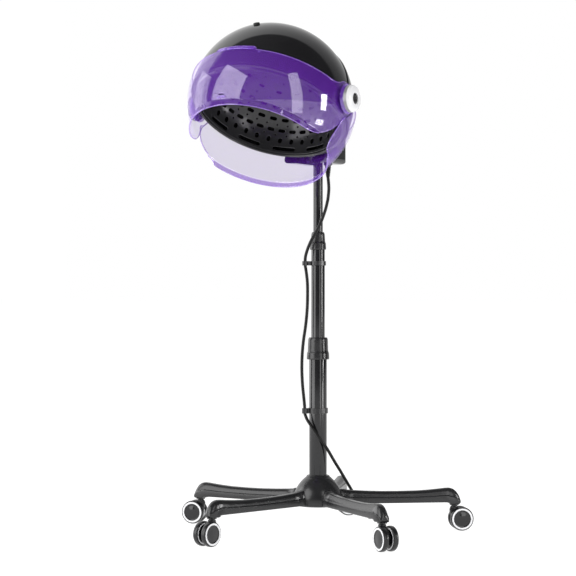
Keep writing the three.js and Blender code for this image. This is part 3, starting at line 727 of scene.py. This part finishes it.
def build_collar(name, body, z0, z1, bottom_r, top_r, outer_r, inner_r, shoulder):
    """A tapered grip collar: a wide skirt, a step, then a cone with a rolled top edge."""
    corners = [
        (outer_r + 0.3, z0, 0.3), (bottom_r - 0.2, z0, 0.8), (bottom_r + 0.1, z0 + 2.4, 0.8),
        (bottom_r - 0.5, z0 + 13.6, 0.8), (top_r + 1.6, z0 + 15.2, 0.9), (top_r + 0.9, z0 + 17.4, 0.9),
        (top_r + 0.1, z1 - 4, 1.6), (top_r - 1.6, z1, 0.9), (inner_r + 0.3, z1, 0.4),
        (inner_r + 0.3, shoulder, 0.2), (outer_r + 0.3, shoulder, 0.2),
    ]
    profile = filled_in(rounded(corners, 4, closed=True), 2.5, closed=True)

    def cut(angle, r, z):
        gaps = [abs((math.degrees(angle) - slit + 180) % 360 - 180) for slit in COLLAR_SLITS_DEG]
        in_slit = min(gaps) < math.degrees(SLIT_HALF_WIDTH / max(r, 1))
        return r - SLIT_DEPTH if in_slit and r > outer_r + 1.5 and z < z1 - 7 else r

    piece = lathe(name + "_moulded", profile, MAST, ["satin_plastic"], segments=360, shape=cut)
    finished(piece, body, "satin_plastic", name)


build_tubes()
build_collar("lower_collar", "lower_collar", 363, 409, 23.5, 20.5, 18.5, 14.25, 394.3)
build_collar("upper_collar", "upper_collar", 593, 630, 16.9, 14, 14.25, 10, 615)

# ---- Base ----
def build_hub():
    side = [(52, 66), (51.3, 76), (48.5, 86), (43.4, 96.5), (36.5, 106), (29.5, 113.2), (25.5, 116.6)]
    profile = [
        (0, 57), (46, 57), (49.5, 57.6), (51.6, 59.6), *curve_through(side, 6),
        (24.4, 118.2), (23.4, 119.6), (22.4, 120.2), (19.4, 120.2), (18.8, 119.4), (18.8, 98.5), (0, 98.5),
    ]
    piece = lathe("hub_moulding", profile, MAST, ["leg_plastic"], segments=144)
    finished(piece, "base", "leg_plastic", "base_hub")


LEG_STATIONS = np.array([  # along, half width, underside, top
    (38, 14.4, 60, 91.5), (44, 14.4, 60, 91.2), (50, 14.3, 60, 90.9), (56, 14.2, 60, 90.4),
    (57.2, 13.5, 60, 89.0), (75, 13.5, 60, 87.6), (100, 13.5, 60, 86.1), (135, 13.5, 60, 84.8),
    (170, 13.5, 60, 84.5), (210, 13.5, 60, 85.1), (236, 13.5, 60, 86.6), (258, 13.5, 60, 88.6),
    (270, 13.5, 60, 89.9), (277.5, 13.5, 59.6, 90.2), (279.5, 13.4, 56.4, 90.1), (284, 13.2, 56, 89.2),
    (288, 12.9, 56, 87.6), (292, 12.4, 56, 84.8), (295.5, 11.8, 56, 81.2), (298.5, 11.1, 56, 77.2),
    (301, 10.3, 56.4, 72.8), (302.6, 9.4, 57.6, 68.8), (303.6, 8.0, 59.4, 65.6), (304, 6.0, 61, 63.8),
])


def leg_section(x, half, low, high):
    """One cross-section: upright sides, a narrow ledge, leaning flanks and a flat crown."""
    span = high - low
    ledge = low + 0.5 * span
    right = [
        (half - 1, low, 1.2), (half, low + 0.08 * span, 1.0), (half, ledge - 1.2, 0.5),
        (half - 1.7, ledge + 0.7, 0.7), (half - 3.2, ledge + 0.27 * span, 3.0),
        (half - 7.4, high - 0.03 * span, 1.8), (half * 0.18, high, 1.5),
    ]
    left = [(-y, z, radius) for y, z, radius in reversed(right)]
    return [(x, y, z) for y, z in rounded([*right, *left], 3, closed=True)]


def build_legs():
    keys = LEG_STATIONS[:, 0]
    along = []
    for a, b in zip(keys[:-1], keys[1:]):
        steps = max(1, int((b - a) // 9))
        along += [a + (b - a) * k / steps for k in range(steps)]
    along.append(keys[-1])
    values = [np.interp(along, keys, LEG_STATIONS[:, k]) for k in (1, 2, 3)]
    sections = [leg_section(*station) for station in zip(along, *values)]
    for i in LEGS:
        stem = Vector(JOINTS[f"caster_{i}_swivel"]["pos_m"])
        turn = math.atan2(stem.y - MAST_AT.y, stem.x - MAST_AT.x)
        matrix = MAST @ Matrix.Rotation(turn, 4, "Z")
        piece = loft(f"leg_{i}_moulding", sections, matrix, ["leg_plastic"], sharp_deg=48)
        finished(piece, "base", "leg_plastic", f"leg_{i}")


TRAIL = 14
FORK_OUTLINE = [
    (-9.5, 38), (-8, 33), (-3, 24.5), (4, 15.5), (11, 11.5), (19, 12), (25, 18), (26, 25.5), (25.2, 33),
    (21.5, 40.5), (15, 46), (8.5, 49.2), (4, 50.8), (-4, 51.2), (-8, 49.5), (-10, 44.5),
]
FORK_HALF = 4.1
WHEEL_INSET = 4.5
WHEEL_R = 25.0


def build_fork(i, frame_matrix):
    flat = curve_through(FORK_OUTLINE, 6, closed=True)
    middle = flat.mean(0)
    edge = [(FORK_HALF, 0.93), (FORK_HALF - 0.5, 0.972), (FORK_HALF - 1.6, 1.0)]  # distance out, size
    sections = []
    for y, size in [*[(-y, size) for y, size in edge], *reversed(edge)]:
        sections.append([(x, y, z) for x, z in middle + (flat - middle) * size])
    body = loft(f"caster_{i}_body", sections, frame_matrix, ["satin_plastic"])
    finished(body, f"caster_{i}", "satin_plastic", f"caster_{i}_fork")
    shoulder = [
        (0, 48), (8.0, 48, 0.5), (8.0, 51.4, 0.8), (6.0, 52.0, 0.4), (6.0, 53.2, 0.3), (9.8, 53.6, 0.3),
        (9.8, 55.6, 0.3), (0, 55.6),
    ]
    stem = [(0, 53), (4.9, 53, 0.3), (4.9, 77, 0.8), (0, 77)]
    axle = [(0, -14), (2.9, -14, 0.4), (2.9, 14, 0.4), (0, 14)]
    across = frame_matrix @ Matrix.Translation((TRAIL, 0, WHEEL_R)) @ Matrix.Rotation(math.pi / 2, 4, "X")
    for word, corners, matrix, material, segments in (
        ("shoulder", shoulder, frame_matrix, "satin_plastic", 40),
        ("stem", stem, frame_matrix, "steel", 32),
        ("axle", axle, across, "steel", 24),
    ):
        part = lathe(f"caster_{i}_{word}", rounded(corners, 3), matrix, [material], segments=segments)
        finished(part, f"caster_{i}", material)


WHEEL_PROFILE = [  # radius, distance out from the wheel's inner face, rounding
    (3.3, 1.6, 0.2), (14.5, 1.2, 0.6), (18.2, 1.6, 0.8), (19.4, 0.4, 0.3), (21.0, 0.4, 0.3), (21.6, 1.2, 0.4),
    (22.8, 0.7, 0.8), (24.4, 1.7, 1.2), (WHEEL_R, 4.4, 2.0), (WHEEL_R, 8.2, 2.0), (24.4, 10.9, 1.4),
    (23.0, 12.1, 0.7),
    (22.4, 11.7, 0.3), (22.1, 12.25, 0.3), (18.6, 12.25, 0.3), (18.3, 11.2, 0.4), (15.5, 10.8, 2.0),
    (6, 11.6, 4.0), (0, 11.8), (0, 10.4), (3.3, 10.4, 0.2),
]


def wheel_paint(r, z):
    """0 tyre, 1 pale ring on either face, 2 gloss disc."""
    if (z > 11.4 and 18.4 < r < 22.3) or (z < 1.1 and 19.2 < r < 21.3):
        return 1
    return 2 if z > 10.4 and r <= 18.4 else 0


def build_wheels(i, frame_matrix):
    profile = rounded(WHEEL_PROFILE, 3, closed=True)
    finishes = ["tyre", "ring_plastic", "gloss_black"]
    for side, word in ((1, "left"), (-1, "right")):
        at = Matrix.Translation((TRAIL, side * WHEEL_INSET, WHEEL_R))
        matrix = frame_matrix @ at @ Matrix.Rotation(-side * math.pi / 2, 4, "X")
        piece = lathe(f"caster_{i}_{word}_disc", profile, matrix, finishes, wheel_paint, 72)
        finished(piece, f"wheels_{i}", "wheel", f"caster_{i}_{word}_wheel")


build_hub()
build_legs()
for i in LEGS:
    stem_at = Vector(JOINTS[f"caster_{i}_swivel"]["pos_m"])
    axle_at = Vector(JOINTS[f"caster_{i}_roll"]["pos_m"])
    trail = math.atan2(axle_at.y - stem_at.y, axle_at.x - stem_at.x)
    caster = Matrix.Translation((stem_at.x, stem_at.y, 0)) @ Matrix.Rotation(trail, 4, "Z")
    caster = caster @ Matrix.Scale(MM, 4)
    build_fork(i, caster)
    build_wheels(i, caster)

# ---- Hood ----
FRONT_DOME = (163, 159.5)  # radius, height
REAR_DOME = (165, 161.5)
DOME_WALL = 3.0
DOME_MESH = 5.5
HEM_Z = -18
VISOR_R = 169.0
SHROUD_R = 171.5
WALL = 2.6
SEAM_Y = 12.0
EAR_R = 34.0
SHROUD_TOP_Z = 14.5
NOTCH_R = 38.0


def polar_place(surface):
    """For a dome: the flat pattern's radius is the length from the pole, and its angle the angle round it."""
    def place(uv):
        s = np.hypot(uv[:, 0], uv[:, 1])
        return surface.at(s, np.arctan2(uv[:, 1], uv[:, 0]))
    return place


def band_place(surface, reference_r, middle_angle):
    """For a band: u runs round it from a middle angle, and v is minus the length from its top."""
    def place(uv):
        return surface.at(-uv[:, 1], middle_angle + uv[:, 0] / reference_r)
    return place


def flat_at(s, turn):
    return (s * math.cos(turn), s * math.sin(turn))


def dome_uv(surface, y, z, side):
    """The flat place of the point of a dome with these side-view coordinates, on the +X or -X side."""
    s = surface.s_at_z(z)
    r = float(surface.r_at(s))
    return flat_at(s, math.atan2(y, side * math.sqrt(max(r * r - y * y, 0))))


def crown_uv(surface, x, y):
    """The flat place of the point of a dome's upper part that is over (x, y)."""
    return flat_at(surface.s_at_r(math.hypot(x, y)), math.atan2(y, x))


def dome_outline(surface, notch, seam_y, side, hem_points, seam_points=180):
    """Half a dome's edge in the flat: down round one ear's notch, along the hem, up round the other's, and
    back over the seam. side is 1 for the rear half and -1 for the front half."""
    ear = on_arc(math.degrees(math.acos(seam_y / notch)), math.degrees(math.asin(HEM_Z / notch)), notch, 24)
    right = [dome_uv(surface, y, z, 1) for y, z in ear]
    left = [dome_uv(surface, y, z, -1) for y, z in reversed(ear)]
    start = math.asin(ear[-1][0] / float(surface.r_at(surface.length)))
    turns = np.linspace(start, side * math.pi - start, hem_points)[1:-1]
    hem = [flat_at(surface.length, t) for t in turns]
    x_ear = math.sqrt(surface.r_at(surface.s_at_z(ear[0][1])) ** 2 - seam_y ** 2)
    seam = [crown_uv(surface, x, seam_y) for x in np.linspace(-x_ear, x_ear, seam_points)[1:-1]]
    return resampled(np.array(right + hem + left + seam), 3.0)


def build_front_dome():
    surface = Revolved(list(reversed(ellipse_arc(*FRONT_DOME, HEM_Z, FRONT_DOME[1], 200))))
    outline = dome_outline(surface, NOTCH_R - 0.5, SEAM_Y, -1, 360)
    seeds = polar_grid(np.arange(5, surface.length, DOME_MESH), DOME_MESH)
    place = polar_place(surface)
    piece = shell("front_shell", place, outline, [], seeds, DOME_WALL, 2.2, HOOD, ["gloss_black"])
    finished(piece, "head", "gloss_black", "front_dome")


def obround(width, height, steps=8):
    """A closed loop with round ends, wider than high or the other way."""
    if width >= height:
        half, r = (width - height) / 2, height / 2
        right = on_arc(-90, 90, r, steps, (half, 0))
        left = on_arc(90, 270, r, steps, (-half, 0))
        return np.array(right + left)
    return obround(height, width, steps)[:, ::-1] * [1, -1]


def build_rear_dome():
    """The back half, straight below the widest part, with five upright vents."""
    skirt = [(REAR_DOME[0] - 0.5, 10), (REAR_DOME[0] - 0.5, HEM_Z)]
    surface = Revolved([*reversed(ellipse_arc(*REAR_DOME, 12, REAR_DOME[1], 200)), *skirt], 1600)
    outline = dome_outline(surface, NOTCH_R + 0.2, SEAM_Y + 0.5, 1, 270)
    upper = np.arange(5, surface.length - 38, DOME_MESH)
    seeds = polar_grid(np.r_[upper, np.arange(surface.length - 37, surface.length, 1.6)], DOME_MESH)
    holes = []
    for x in range(-30, 31, 15):
        vent = resampled(obround(52, 6, 6)[:, ::-1] + [x, 86], 2.0)
        holes.append(np.array([crown_uv(surface, *p) for p in vent]))
    place = polar_place(surface)
    piece = shell("rear_shell", place, outline, holes, seeds, DOME_WALL, 1.6, HOOD, ["gloss_black"])
    finished(piece, "head", "gloss_black", "rear_dome")


def band_profile(r, top, low, lip):
    """A sphere's band down to a height, a small step out, and a straight lip."""
    return [*[(a, b) for a, b in reversed(ellipse_arc(r, r, low, top, 120))], *lip]


def band_uv(surface, reference_r, middle_angle, y, z, side):
    """The flat place of a band's point with these side-view coordinates."""
    s = surface.s_at_z(z)
    r = float(surface.r_at(s))
    from_middle = math.acos(max(-1.0, min(1.0, y / (r * math.sin(middle_angle)))))
    return (side * from_middle * reference_r, -s)


PURPLES = ["clear_purple", "purple_rim", "purple_lip"]
BAND_MESH = 4.5


def build_band(name, surface, middle_angle, r, half, holes, heights, reach, in_lip):
    """A clear moulding from the +X half of its outline, meshed in rows at these heights."""
    outline = resampled(np.array([*half, *[(-u, v) for u, v in reversed(half)]]), 2.2)
    seeds = hex_grid((-reach, reach), [-surface.s_at_z(z) for z in heights], BAND_MESH)
    place = band_place(surface, r, middle_angle)
    return shell(
        name, place, outline, holes, seeds, WALL, 1.3, HOOD, PURPLES, PURPLES.index("purple_rim"), 6,
        lambda p: PURPLES.index("purple_lip") if in_lip(p) else 0,
    )


TOP_EDGE_Z = 10
TAB_Z = 17
SLOT_U = -14.2 * VISOR_R / 148.4
TAB_SLOPE = [(47, TOP_EDGE_Z), (46, 10.4), (43, 15.2), (41, TAB_Z), (37, TAB_Z)]


def build_visor():
    """The lifting front: its top edge has a tab at the front, and dips, then sweeps up round each ear."""
    lip = [(143.6, -90.4), (144.5, -91.3), (144.4, -93), (143.6, -102)]
    surface = Revolved(band_profile(VISOR_R, 40, -89.5, lip), 2000)
    front = -math.pi / 2
    low = curve_through([
        (-60, -102), (-50, -101.6), (-40, -100), (-30, -96.6), (-20, -91.3), (-11, -84.3), (-2, -75.2),
        (5, -65), (10.5, -53), (15.5, -41), (21.5, -31), (25.9, -22),
    ], 6)
    ear = on_arc(-40, 128, EAR_R, 40)
    dip = curve_through([ear[-1], (-27, 20.6), (-34, 15.2), (-43, 11.9), (-54, 10.4), (-66, TOP_EDGE_Z)], 5)
    half = [band_uv(surface, VISOR_R, front, y, z, 1) for y, z in [*low[:-1], *ear, *dip[1:]]]
    crest = [(u, TOP_EDGE_Z) for u in np.linspace(half[-1][0], 60, 20)[1:]]
    crest += TAB_SLOPE
    crest += [(u, TAB_Z) for u in np.linspace(37, 0, 12)[1:]]
    half += [(u, -surface.s_at_z(z)) for u, z in crest]
    slot = resampled(obround(18, 5.4, 8), 1.3) + [SLOT_U, -surface.s_at_z(-81)]
    heights = np.r_[np.arange(38, -86, -BAND_MESH), np.arange(-86, -94, -0.7), np.arange(-94, -102, -2.4)]
    piece = build_band(
        "visor_moulding", surface, front, VISOR_R, half, [slot], heights, 330,
        lambda p: p[2] > TOP_EDGE_Z + 1.5 and p[1] < -150,
    )
    finished(piece, "visor", "clear_purple", "visor")
    build_visor_details(surface)


def build_visor_details(surface):
    """The snap pins at the tab's ends, the lip under the finger slot, and a bead inside the tab's edge."""
    place = band_place(surface, VISOR_R, -math.pi / 2)
    profile = rounded([(0, -0.6), (1.9, -0.6, 0.1), (1.9, 0.5, 0.4), (1.0, 0.9, 0.3), (0, 0.9)], 3)
    for u, word in ((-53.0, "left"), (53.0, "right")):
        at, normal = (v[0] for v in place(np.array([[u, -surface.s_at_z(5.5)]])))
        turn = Vector(normal).to_track_quat("Z", "Y").to_matrix().to_4x4()
        matrix = HOOD @ Matrix.Translation(at) @ turn
        pin = lathe(f"snap_pin_{word}", profile, matrix, ["purple_rim"], segments=24)
        finished(pin, "visor", "clear_purple")
    for name, middle_u, half, z, radius, count, sides in (
        ("finger_lip", SLOT_U, 11.5, -85.6, 1.5, 24, 14),
        ("tab_bead", 0.0, 41, 11.2, 1.0, 60, 12),
    ):
        across = middle_u + np.linspace(-half, half, count)
        line = place(np.stack([across, np.full(count, -surface.s_at_z(z))], 1))[0]
        finished(swept(name, line, radius, HOOD, "purple_lip", sides), "visor", "clear_purple")


def build_shroud():
    """The neck guard round the back: its edges sweep in below each pivot, and its lip starts past them."""
    lip = [(143.0, -96.6), (143.5, -97.6), (143.4, -99), (143.0, -107.5)]
    surface = Revolved(band_profile(SHROUD_R, SHROUD_TOP_Z, -96, lip), 2000)
    back = math.pi / 2
    ear = on_arc(math.degrees(math.asin(SHROUD_TOP_Z / NOTCH_R)), -66, NOTCH_R, 30)
    rest = curve_through([
        (15.46, -34.7), (14.5, -42), (14.5, -54), (14.7, -66), (16.6, -76.5), (20.4, -85), (26.5, -92),
        (34, -96.4), (42, -98), (47.6, -99.4), (51.4, -103), (54.5, -106.6), (60, -107.5),
    ], 6)
    right = [band_uv(surface, SHROUD_R, back, y, z, 1) for y, z in [*ear[:-1], *rest]]
    heights = np.r_[np.arange(14, -92, -BAND_MESH), np.arange(-92, -100, -0.7), np.arange(-100, -107, -2.2)]
    piece = build_band(
        "shroud_moulding", surface, back, SHROUD_R, right, [], heights, 300, lambda p: p[2] < -98,
    )
    finished(piece, "head", "clear_purple", "neck_shroud")


LINER_ROWS = [  # height above the pivot, how many, width, height, turn as a share of a step
    (-14.5, 12, 51, 10, 0.5), (3.0, 36, 9.8, 13.6, 0.0), (13.5, 36, 5.4, 5.4, 0.5),
    (22.5, 36, 17, 8.6, 0.0), (32.0, 36, 5.2, 5.2, 0.5), (41.0, 30, 17, 8.6, 0.0),
    (50.0, 30, 5.2, 5.2, 0.5), (58.5, 24, 15.5, 8.4, 0.0), (68.5, 18, 5.0, 5.0, 0.5),
    (76.5, 12, 14.0, 8.0, 0.0), (85.0, 8, 5.0, 5.0, 0.5),
]


def liner_holes(surface):
    """Long slots round the rim, then upright ovals, then rows of small round holes and wide ones."""
    holes = []
    for z, count, width, height, shift in LINER_ROWS:
        s = surface.s_at_z(z)
        r = float(surface.r_at(s))
        loop = obround(width, height, 7) if width != height else np.array(on_arc(0, 337.5, width / 2, 15))
        loop = resampled(loop, 1.9)
        for i in range(count):
            turn = 2 * math.pi * (i + shift) / count
            holes.append(np.array([flat_at(s - q, turn + p / r) for p, q in loop]))
    return holes


def build_liner():
    r, height, rim, wall = 148.6, 118.0, -24.0, 2.4
    crown = rim + height - wall / 2
    arc = ellipse_arc(r - wall / 2, height - wall / 2, rim, crown, 240, rim)
    surface = Revolved(list(reversed(arc)), 1600)
    turns = np.linspace(0, 2 * math.pi, 300, endpoint=False)
    outline = np.stack([surface.length * np.cos(turns), surface.length * np.sin(turns)], 1)
    seeds = polar_grid(np.arange(4, surface.length, 4.6), 4.6)
    piece = shell(
        "liner_moulding", polar_place(surface), outline, liner_holes(surface), seeds, wall, 1.5, HOOD,
        ["liner_plastic"], 0, 4,
    )
    finished(piece, "head", "liner_plastic", "perforated_liner")
    corners = [
        (148.9, -22, 0.5), (149.8, -26.4, 1.2), (151.6, -28, 1.2), (153.6, -27.4, 1.2), (154.9, -22.6, 1.0),
        (159, -21.6, 0.6), (159, -19.2, 0.4), (152, -19, 0.5), (148.9, -20, 0.4),
    ]
    profile = rounded(corners, 5, closed=True)
    ring = lathe("plenum_ring_moulding", profile, HOOD, ["liner_plastic"], segments=240)
    finished(ring, "head", "liner_plastic", "plenum_ring")


def knob_paint(r, z):
    """0 white, 1 a darker grey band round the side that is painted shade, 2 black, 3 clear flange."""
    if z < 177.6 and r > 8:
        return 3
    if r < 10.9 and z > 180:
        return 2
    # the band round the knob's side takes the darker grey of painted shade
    return 1 if r > 25.6 and z < 184.0 else 0


def build_knobs():
    corners = [
        (0, 150), (5.2, 150, 0.4), (5.2, 171.2, 0.2), (29.4, 171.2, 0.6), (30, 172.6, 0.8),
        (28.6, 174.2, 0.6), (28.0, 176.9, 0.6), (27.0, 177.7, 0.3), (27.0, 183.9, 0.5), (26.6, 184.6, 0.5),
        (25.0, 188.8, 2.4),
        (19, 191.1, 2.0), (12.8, 191.4, 0.8), (11.2, 190.6, 0.4), (11.0, 187.6, 0.3), (10.6, 187.6, 0.3),
        (10.0, 189.8, 0.8), (5.0, 190.4, 0.8), (4.2, 189.4, 0.4), (0, 189.2),
    ]
    profile = rounded(corners, 5)
    finishes = ["white_plastic", "knob_side_painted_shade", "gloss_black", "purple_lip"]
    for side, word in ((1, "right"), (-1, "left")):
        outwards = HOOD @ Matrix.Rotation(side * math.pi / 2, 4, "Y")
        piece = lathe(f"{word}_knob_cap", profile, outwards, finishes, knob_paint, 96)
        finished(piece, "visor", "white_plastic", f"{word}_pivot_knob")


PAD_DEG = 39  # above the hood's level, towards its front


def build_crown_pad():
    profile = rounded([(0, 161.6), (6.5, 161.6, 0.2), (6.5, 164.3, 0.8), (5.4, 165.3, 0.8), (0, 165.5)], 4)
    matrix = HOOD @ Matrix.Rotation(math.radians(90 - PAD_DEG), 4, "X")
    piece = lathe("crown_bumper", profile, matrix, ["rubber"], segments=40)
    finished(piece, "head", "rubber", "crown_pad")


build_front_dome()
build_rear_dome()
build_visor()
build_shroud()
build_liner()
build_knobs()
build_crown_pad()

# ---- Rear housing and its controls ----
DIALS = {  # distance to the right, steps marked, sweep in degrees, every how many marks is long
    "timer": (-20.0, 12, 300, 3),
    "heat": (20.0, 3, 180, 1),
}
DIAL_Z = 859.0


def dial_matrix(x):
    """The dial's own frame: its axis is Z and points out of the housing's back."""
    return MAST @ Matrix.Translation((x, 0, DIAL_Z)) @ Matrix.Rotation(-math.pi / 2, 4, "X")


def bar(name, low, high, half, corner, steps, ends, matrix):
    """A small white bar on a dial's face, between two distances from its centre."""
    corners = [(-half, low, corner), (half, low, corner), (half, high, corner), (-half, high, corner)]
    flat = rounded(corners, steps, closed=True)
    return loft(name, [[(x, y, z) for x, y in flat] for z in ends], matrix, ["white_plastic"])


def fluted(angle, r, z):
    depth = 0.55 if 44.3 < z < 53.6 and r > 11.4 else 0.0
    return r - depth * (0.5 + 0.5 * math.cos(24 * angle)) ** 2


def build_dials():
    corners = [
        (0, 35.4), (4, 35.4, 0.2), (4, 41.3, 0.2), (14, 41.3, 0.5), (13.9, 43.4, 0.5), (13.1, 44.2, 0.4),
        (12.5, 52.6, 1.0), (11.2, 54.6, 1.2), (4.5, 55.0, 2.0), (0, 54.7),
    ]
    profile = filled_in(rounded(corners, 4), 2)
    for name, (x, marks, sweep_deg, long_every) in DIALS.items():
        matrix = dial_matrix(x)
        knob = lathe(f"{name}_knob", profile, matrix, ["satin_plastic"], segments=240, shape=fluted)
        finished(knob, f"{name}_dial", "satin_plastic", f"{name}_dial")
        pointer = bar(f"{name}_pointer", 5.5, 11.0, 0.6, 0.5, 4, (54.2, 55.2), matrix)
        finished(pointer, f"{name}_dial", "white_plastic")
        for k in range(marks + 1):
            turn = Matrix.Rotation(math.pi - math.radians(sweep_deg) * k / marks, 4, "Z")
            size = 1.6 if k % long_every else 2.6
            mark = bar(f"{name}_mark_{k}", 15.2, 15.2 + size, 0.35, 0.2, 3, (40.9, 41.25), matrix @ turn)
            finished(mark, "head", "white_plastic")


def soften(node, width, material, segments=3, angle=math.radians(35)):
    """A CAD node whose shape is right: it keeps its mesh, with its edges eased and a finish."""
    o = frame["nodes"][node]
    o.data.materials.clear()
    o.data.materials.append(MATERIALS[material])
    o.data.shade_smooth()
    bevel = o.modifiers.new("eased", "BEVEL")
    bevel.width = width * MM
    bevel.segments = segments
    bevel.limit_method = "ANGLE"
    bevel.angle_limit = angle
    bevel.harden_normals = True
    o.data.set_sharp_from_angle(angle=angle)


build_dials()
KEPT = {  # node: edge easing in mm, finish
    "rear_housing": (1.2, "gloss_black"), "rear_cover": (0.7, "satin_plastic"),
    "tilt_block": (0.6, "satin_plastic"), "tilt_pin": (0.5, "steel"),
    "lower_cord_clip": (0.5, "satin_plastic"), "upper_cord_clip": (0.5, "satin_plastic"),
    "lower_bush": (0.3, "grey_plastic"), "upper_bush": (0.3, "grey_plastic"),
    "fan_deck": (0.4, "grey_plastic"), "fan_motor": (0.5, "steel"), "fan_impeller": (0.2, "grey_plastic"),
    "heater_ring": (0.4, "mica"), "thermal_cutout": (0.4, "steel"),
    "timer_switch": (0.6, "grey_plastic"), "heat_switch": (0.6, "grey_plastic"),
}
for node, (width, material) in KEPT.items():
    soften(node, width, material)

# ---- Stage ----
FLOOR_HALF = 60  # metres


def build_floor():
    material, n, shader = new_material("floor")
    n.fill(shader, {
        "Base Color": (0.3, 0.3, 0.3, 1),
        "Roughness": 0.9,
        "Specular IOR Level": 0.0,
        "Emission Color": (1, 1, 1, 1),
        "Emission Strength": 0.9,
    })
    mesh = bpy.data.meshes.new("floor")
    corners = [(x * FLOOR_HALF, y * FLOOR_HALF, 0) for x, y in ((-1, -1), (1, -1), (1, 1), (-1, 1))]
    mesh.from_pydata(corners, [], [(0, 1, 2, 3)])
    mesh.materials.append(material)
    floor = bpy.data.objects.new("floor", mesh)
    bpy.context.scene.collection.objects.link(floor)


VIEW_TURN = math.radians(VIEW_DEG)
TO_CAMERA = Vector((math.sin(VIEW_TURN), -math.cos(VIEW_TURN), 0))
TO_RIGHT = Vector((math.cos(VIEW_TURN), math.sin(VIEW_TURN), 0))
HEAD_AT = Vector((0.0275, -0.164, 0.883))
BACK_SHARE = 0.33  # the cosine of half the angle that the bright backdrop fills
BACK_LEFT_AND_RIGHT = (1.38, 0.5)  # its brightness there, before it is squared
ROOM = 0.12


def build_world():
    """A white backdrop behind the object, brighter on its left, in a dimmer studio."""
    world = bpy.data.worlds.new("studio")
    world.use_nodes = True
    bpy.context.scene.world = world
    n = Nodes(world.node_tree)
    place = n.add("TexCoord").outputs["Generated"]

    def along(direction):
        return n.add("VectorMath", {0: place, 1: direction}, operation="DOT_PRODUCT").outputs["Value"]

    def combined(operation, a, b):
        return n.add("Math", {0: a, 1: b}, operation=operation).outputs["Value"]

    lit = n.spread(along(-TO_CAMERA), ROOM, 1.0, BACK_SHARE - 0.02, BACK_SHARE + 0.02)
    uneven = n.spread(along(TO_RIGHT), *BACK_LEFT_AND_RIGHT, -0.9, 0.9)
    backdrop = combined("MULTIPLY", lit, combined("MULTIPLY", uneven, uneven))
    strength = combined("MAXIMUM", backdrop, n.add("LightPath").outputs["Is Camera Ray"])
    n.fill(n.tree.nodes["Background"], {"Strength": strength, "Color": (1, 1, 1, 1)})


def softbox(name, azimuths, elevations, strength, glossy=True, lean=0, distance=3.0):
    """A panel that faces the head. Azimuths run to the camera's right, seen from the head, in degrees."""
    azimuth, elevation = (math.radians(sum(pair) / 2) for pair in (azimuths, elevations))
    width, height = (2 * distance * math.tan(math.radians((b - a) / 2)) for a, b in (azimuths, elevations))
    aim = math.cos(elevation) * (math.cos(azimuth) * TO_CAMERA + math.sin(azimuth) * TO_RIGHT)
    aim.z = math.sin(elevation)
    data = bpy.data.lights.new(name, "AREA")
    data.shape = "RECTANGLE"
    data.size, data.size_y = width, height
    data.energy = strength * math.pi * width * height
    light = bpy.data.objects.new(name, data)
    light.location = HEAD_AT + distance * aim
    facing = aim.to_track_quat("Z", "Y").to_matrix() @ Matrix.Rotation(math.radians(lean), 3, "Z")
    light.rotation_euler = facing.to_euler()
    light.visible_camera = False
    light.visible_glossy = glossy
    bpy.context.scene.collection.objects.link(light)


build_floor()
build_world()
softbox("panel_left", (-86, -43), (-30, 38), 3.4, lean=-14)
softbox("panel_far_left", (-126, -96), (-35, 25), 2.4)
softbox("panel_right", (27, 42), (-34, 34), 3.0, lean=4)
softbox("strip_right", (70, 79), (-9, 8), 18.0)
softbox("strip_right_low", (66, 78), (-25, -19), 10.0, distance=1.7)
softbox("fill_top", (-30, 30), (50, 89), 2.2, glossy=False)
bpy.context.scene.view_settings.view_transform = "Standard"
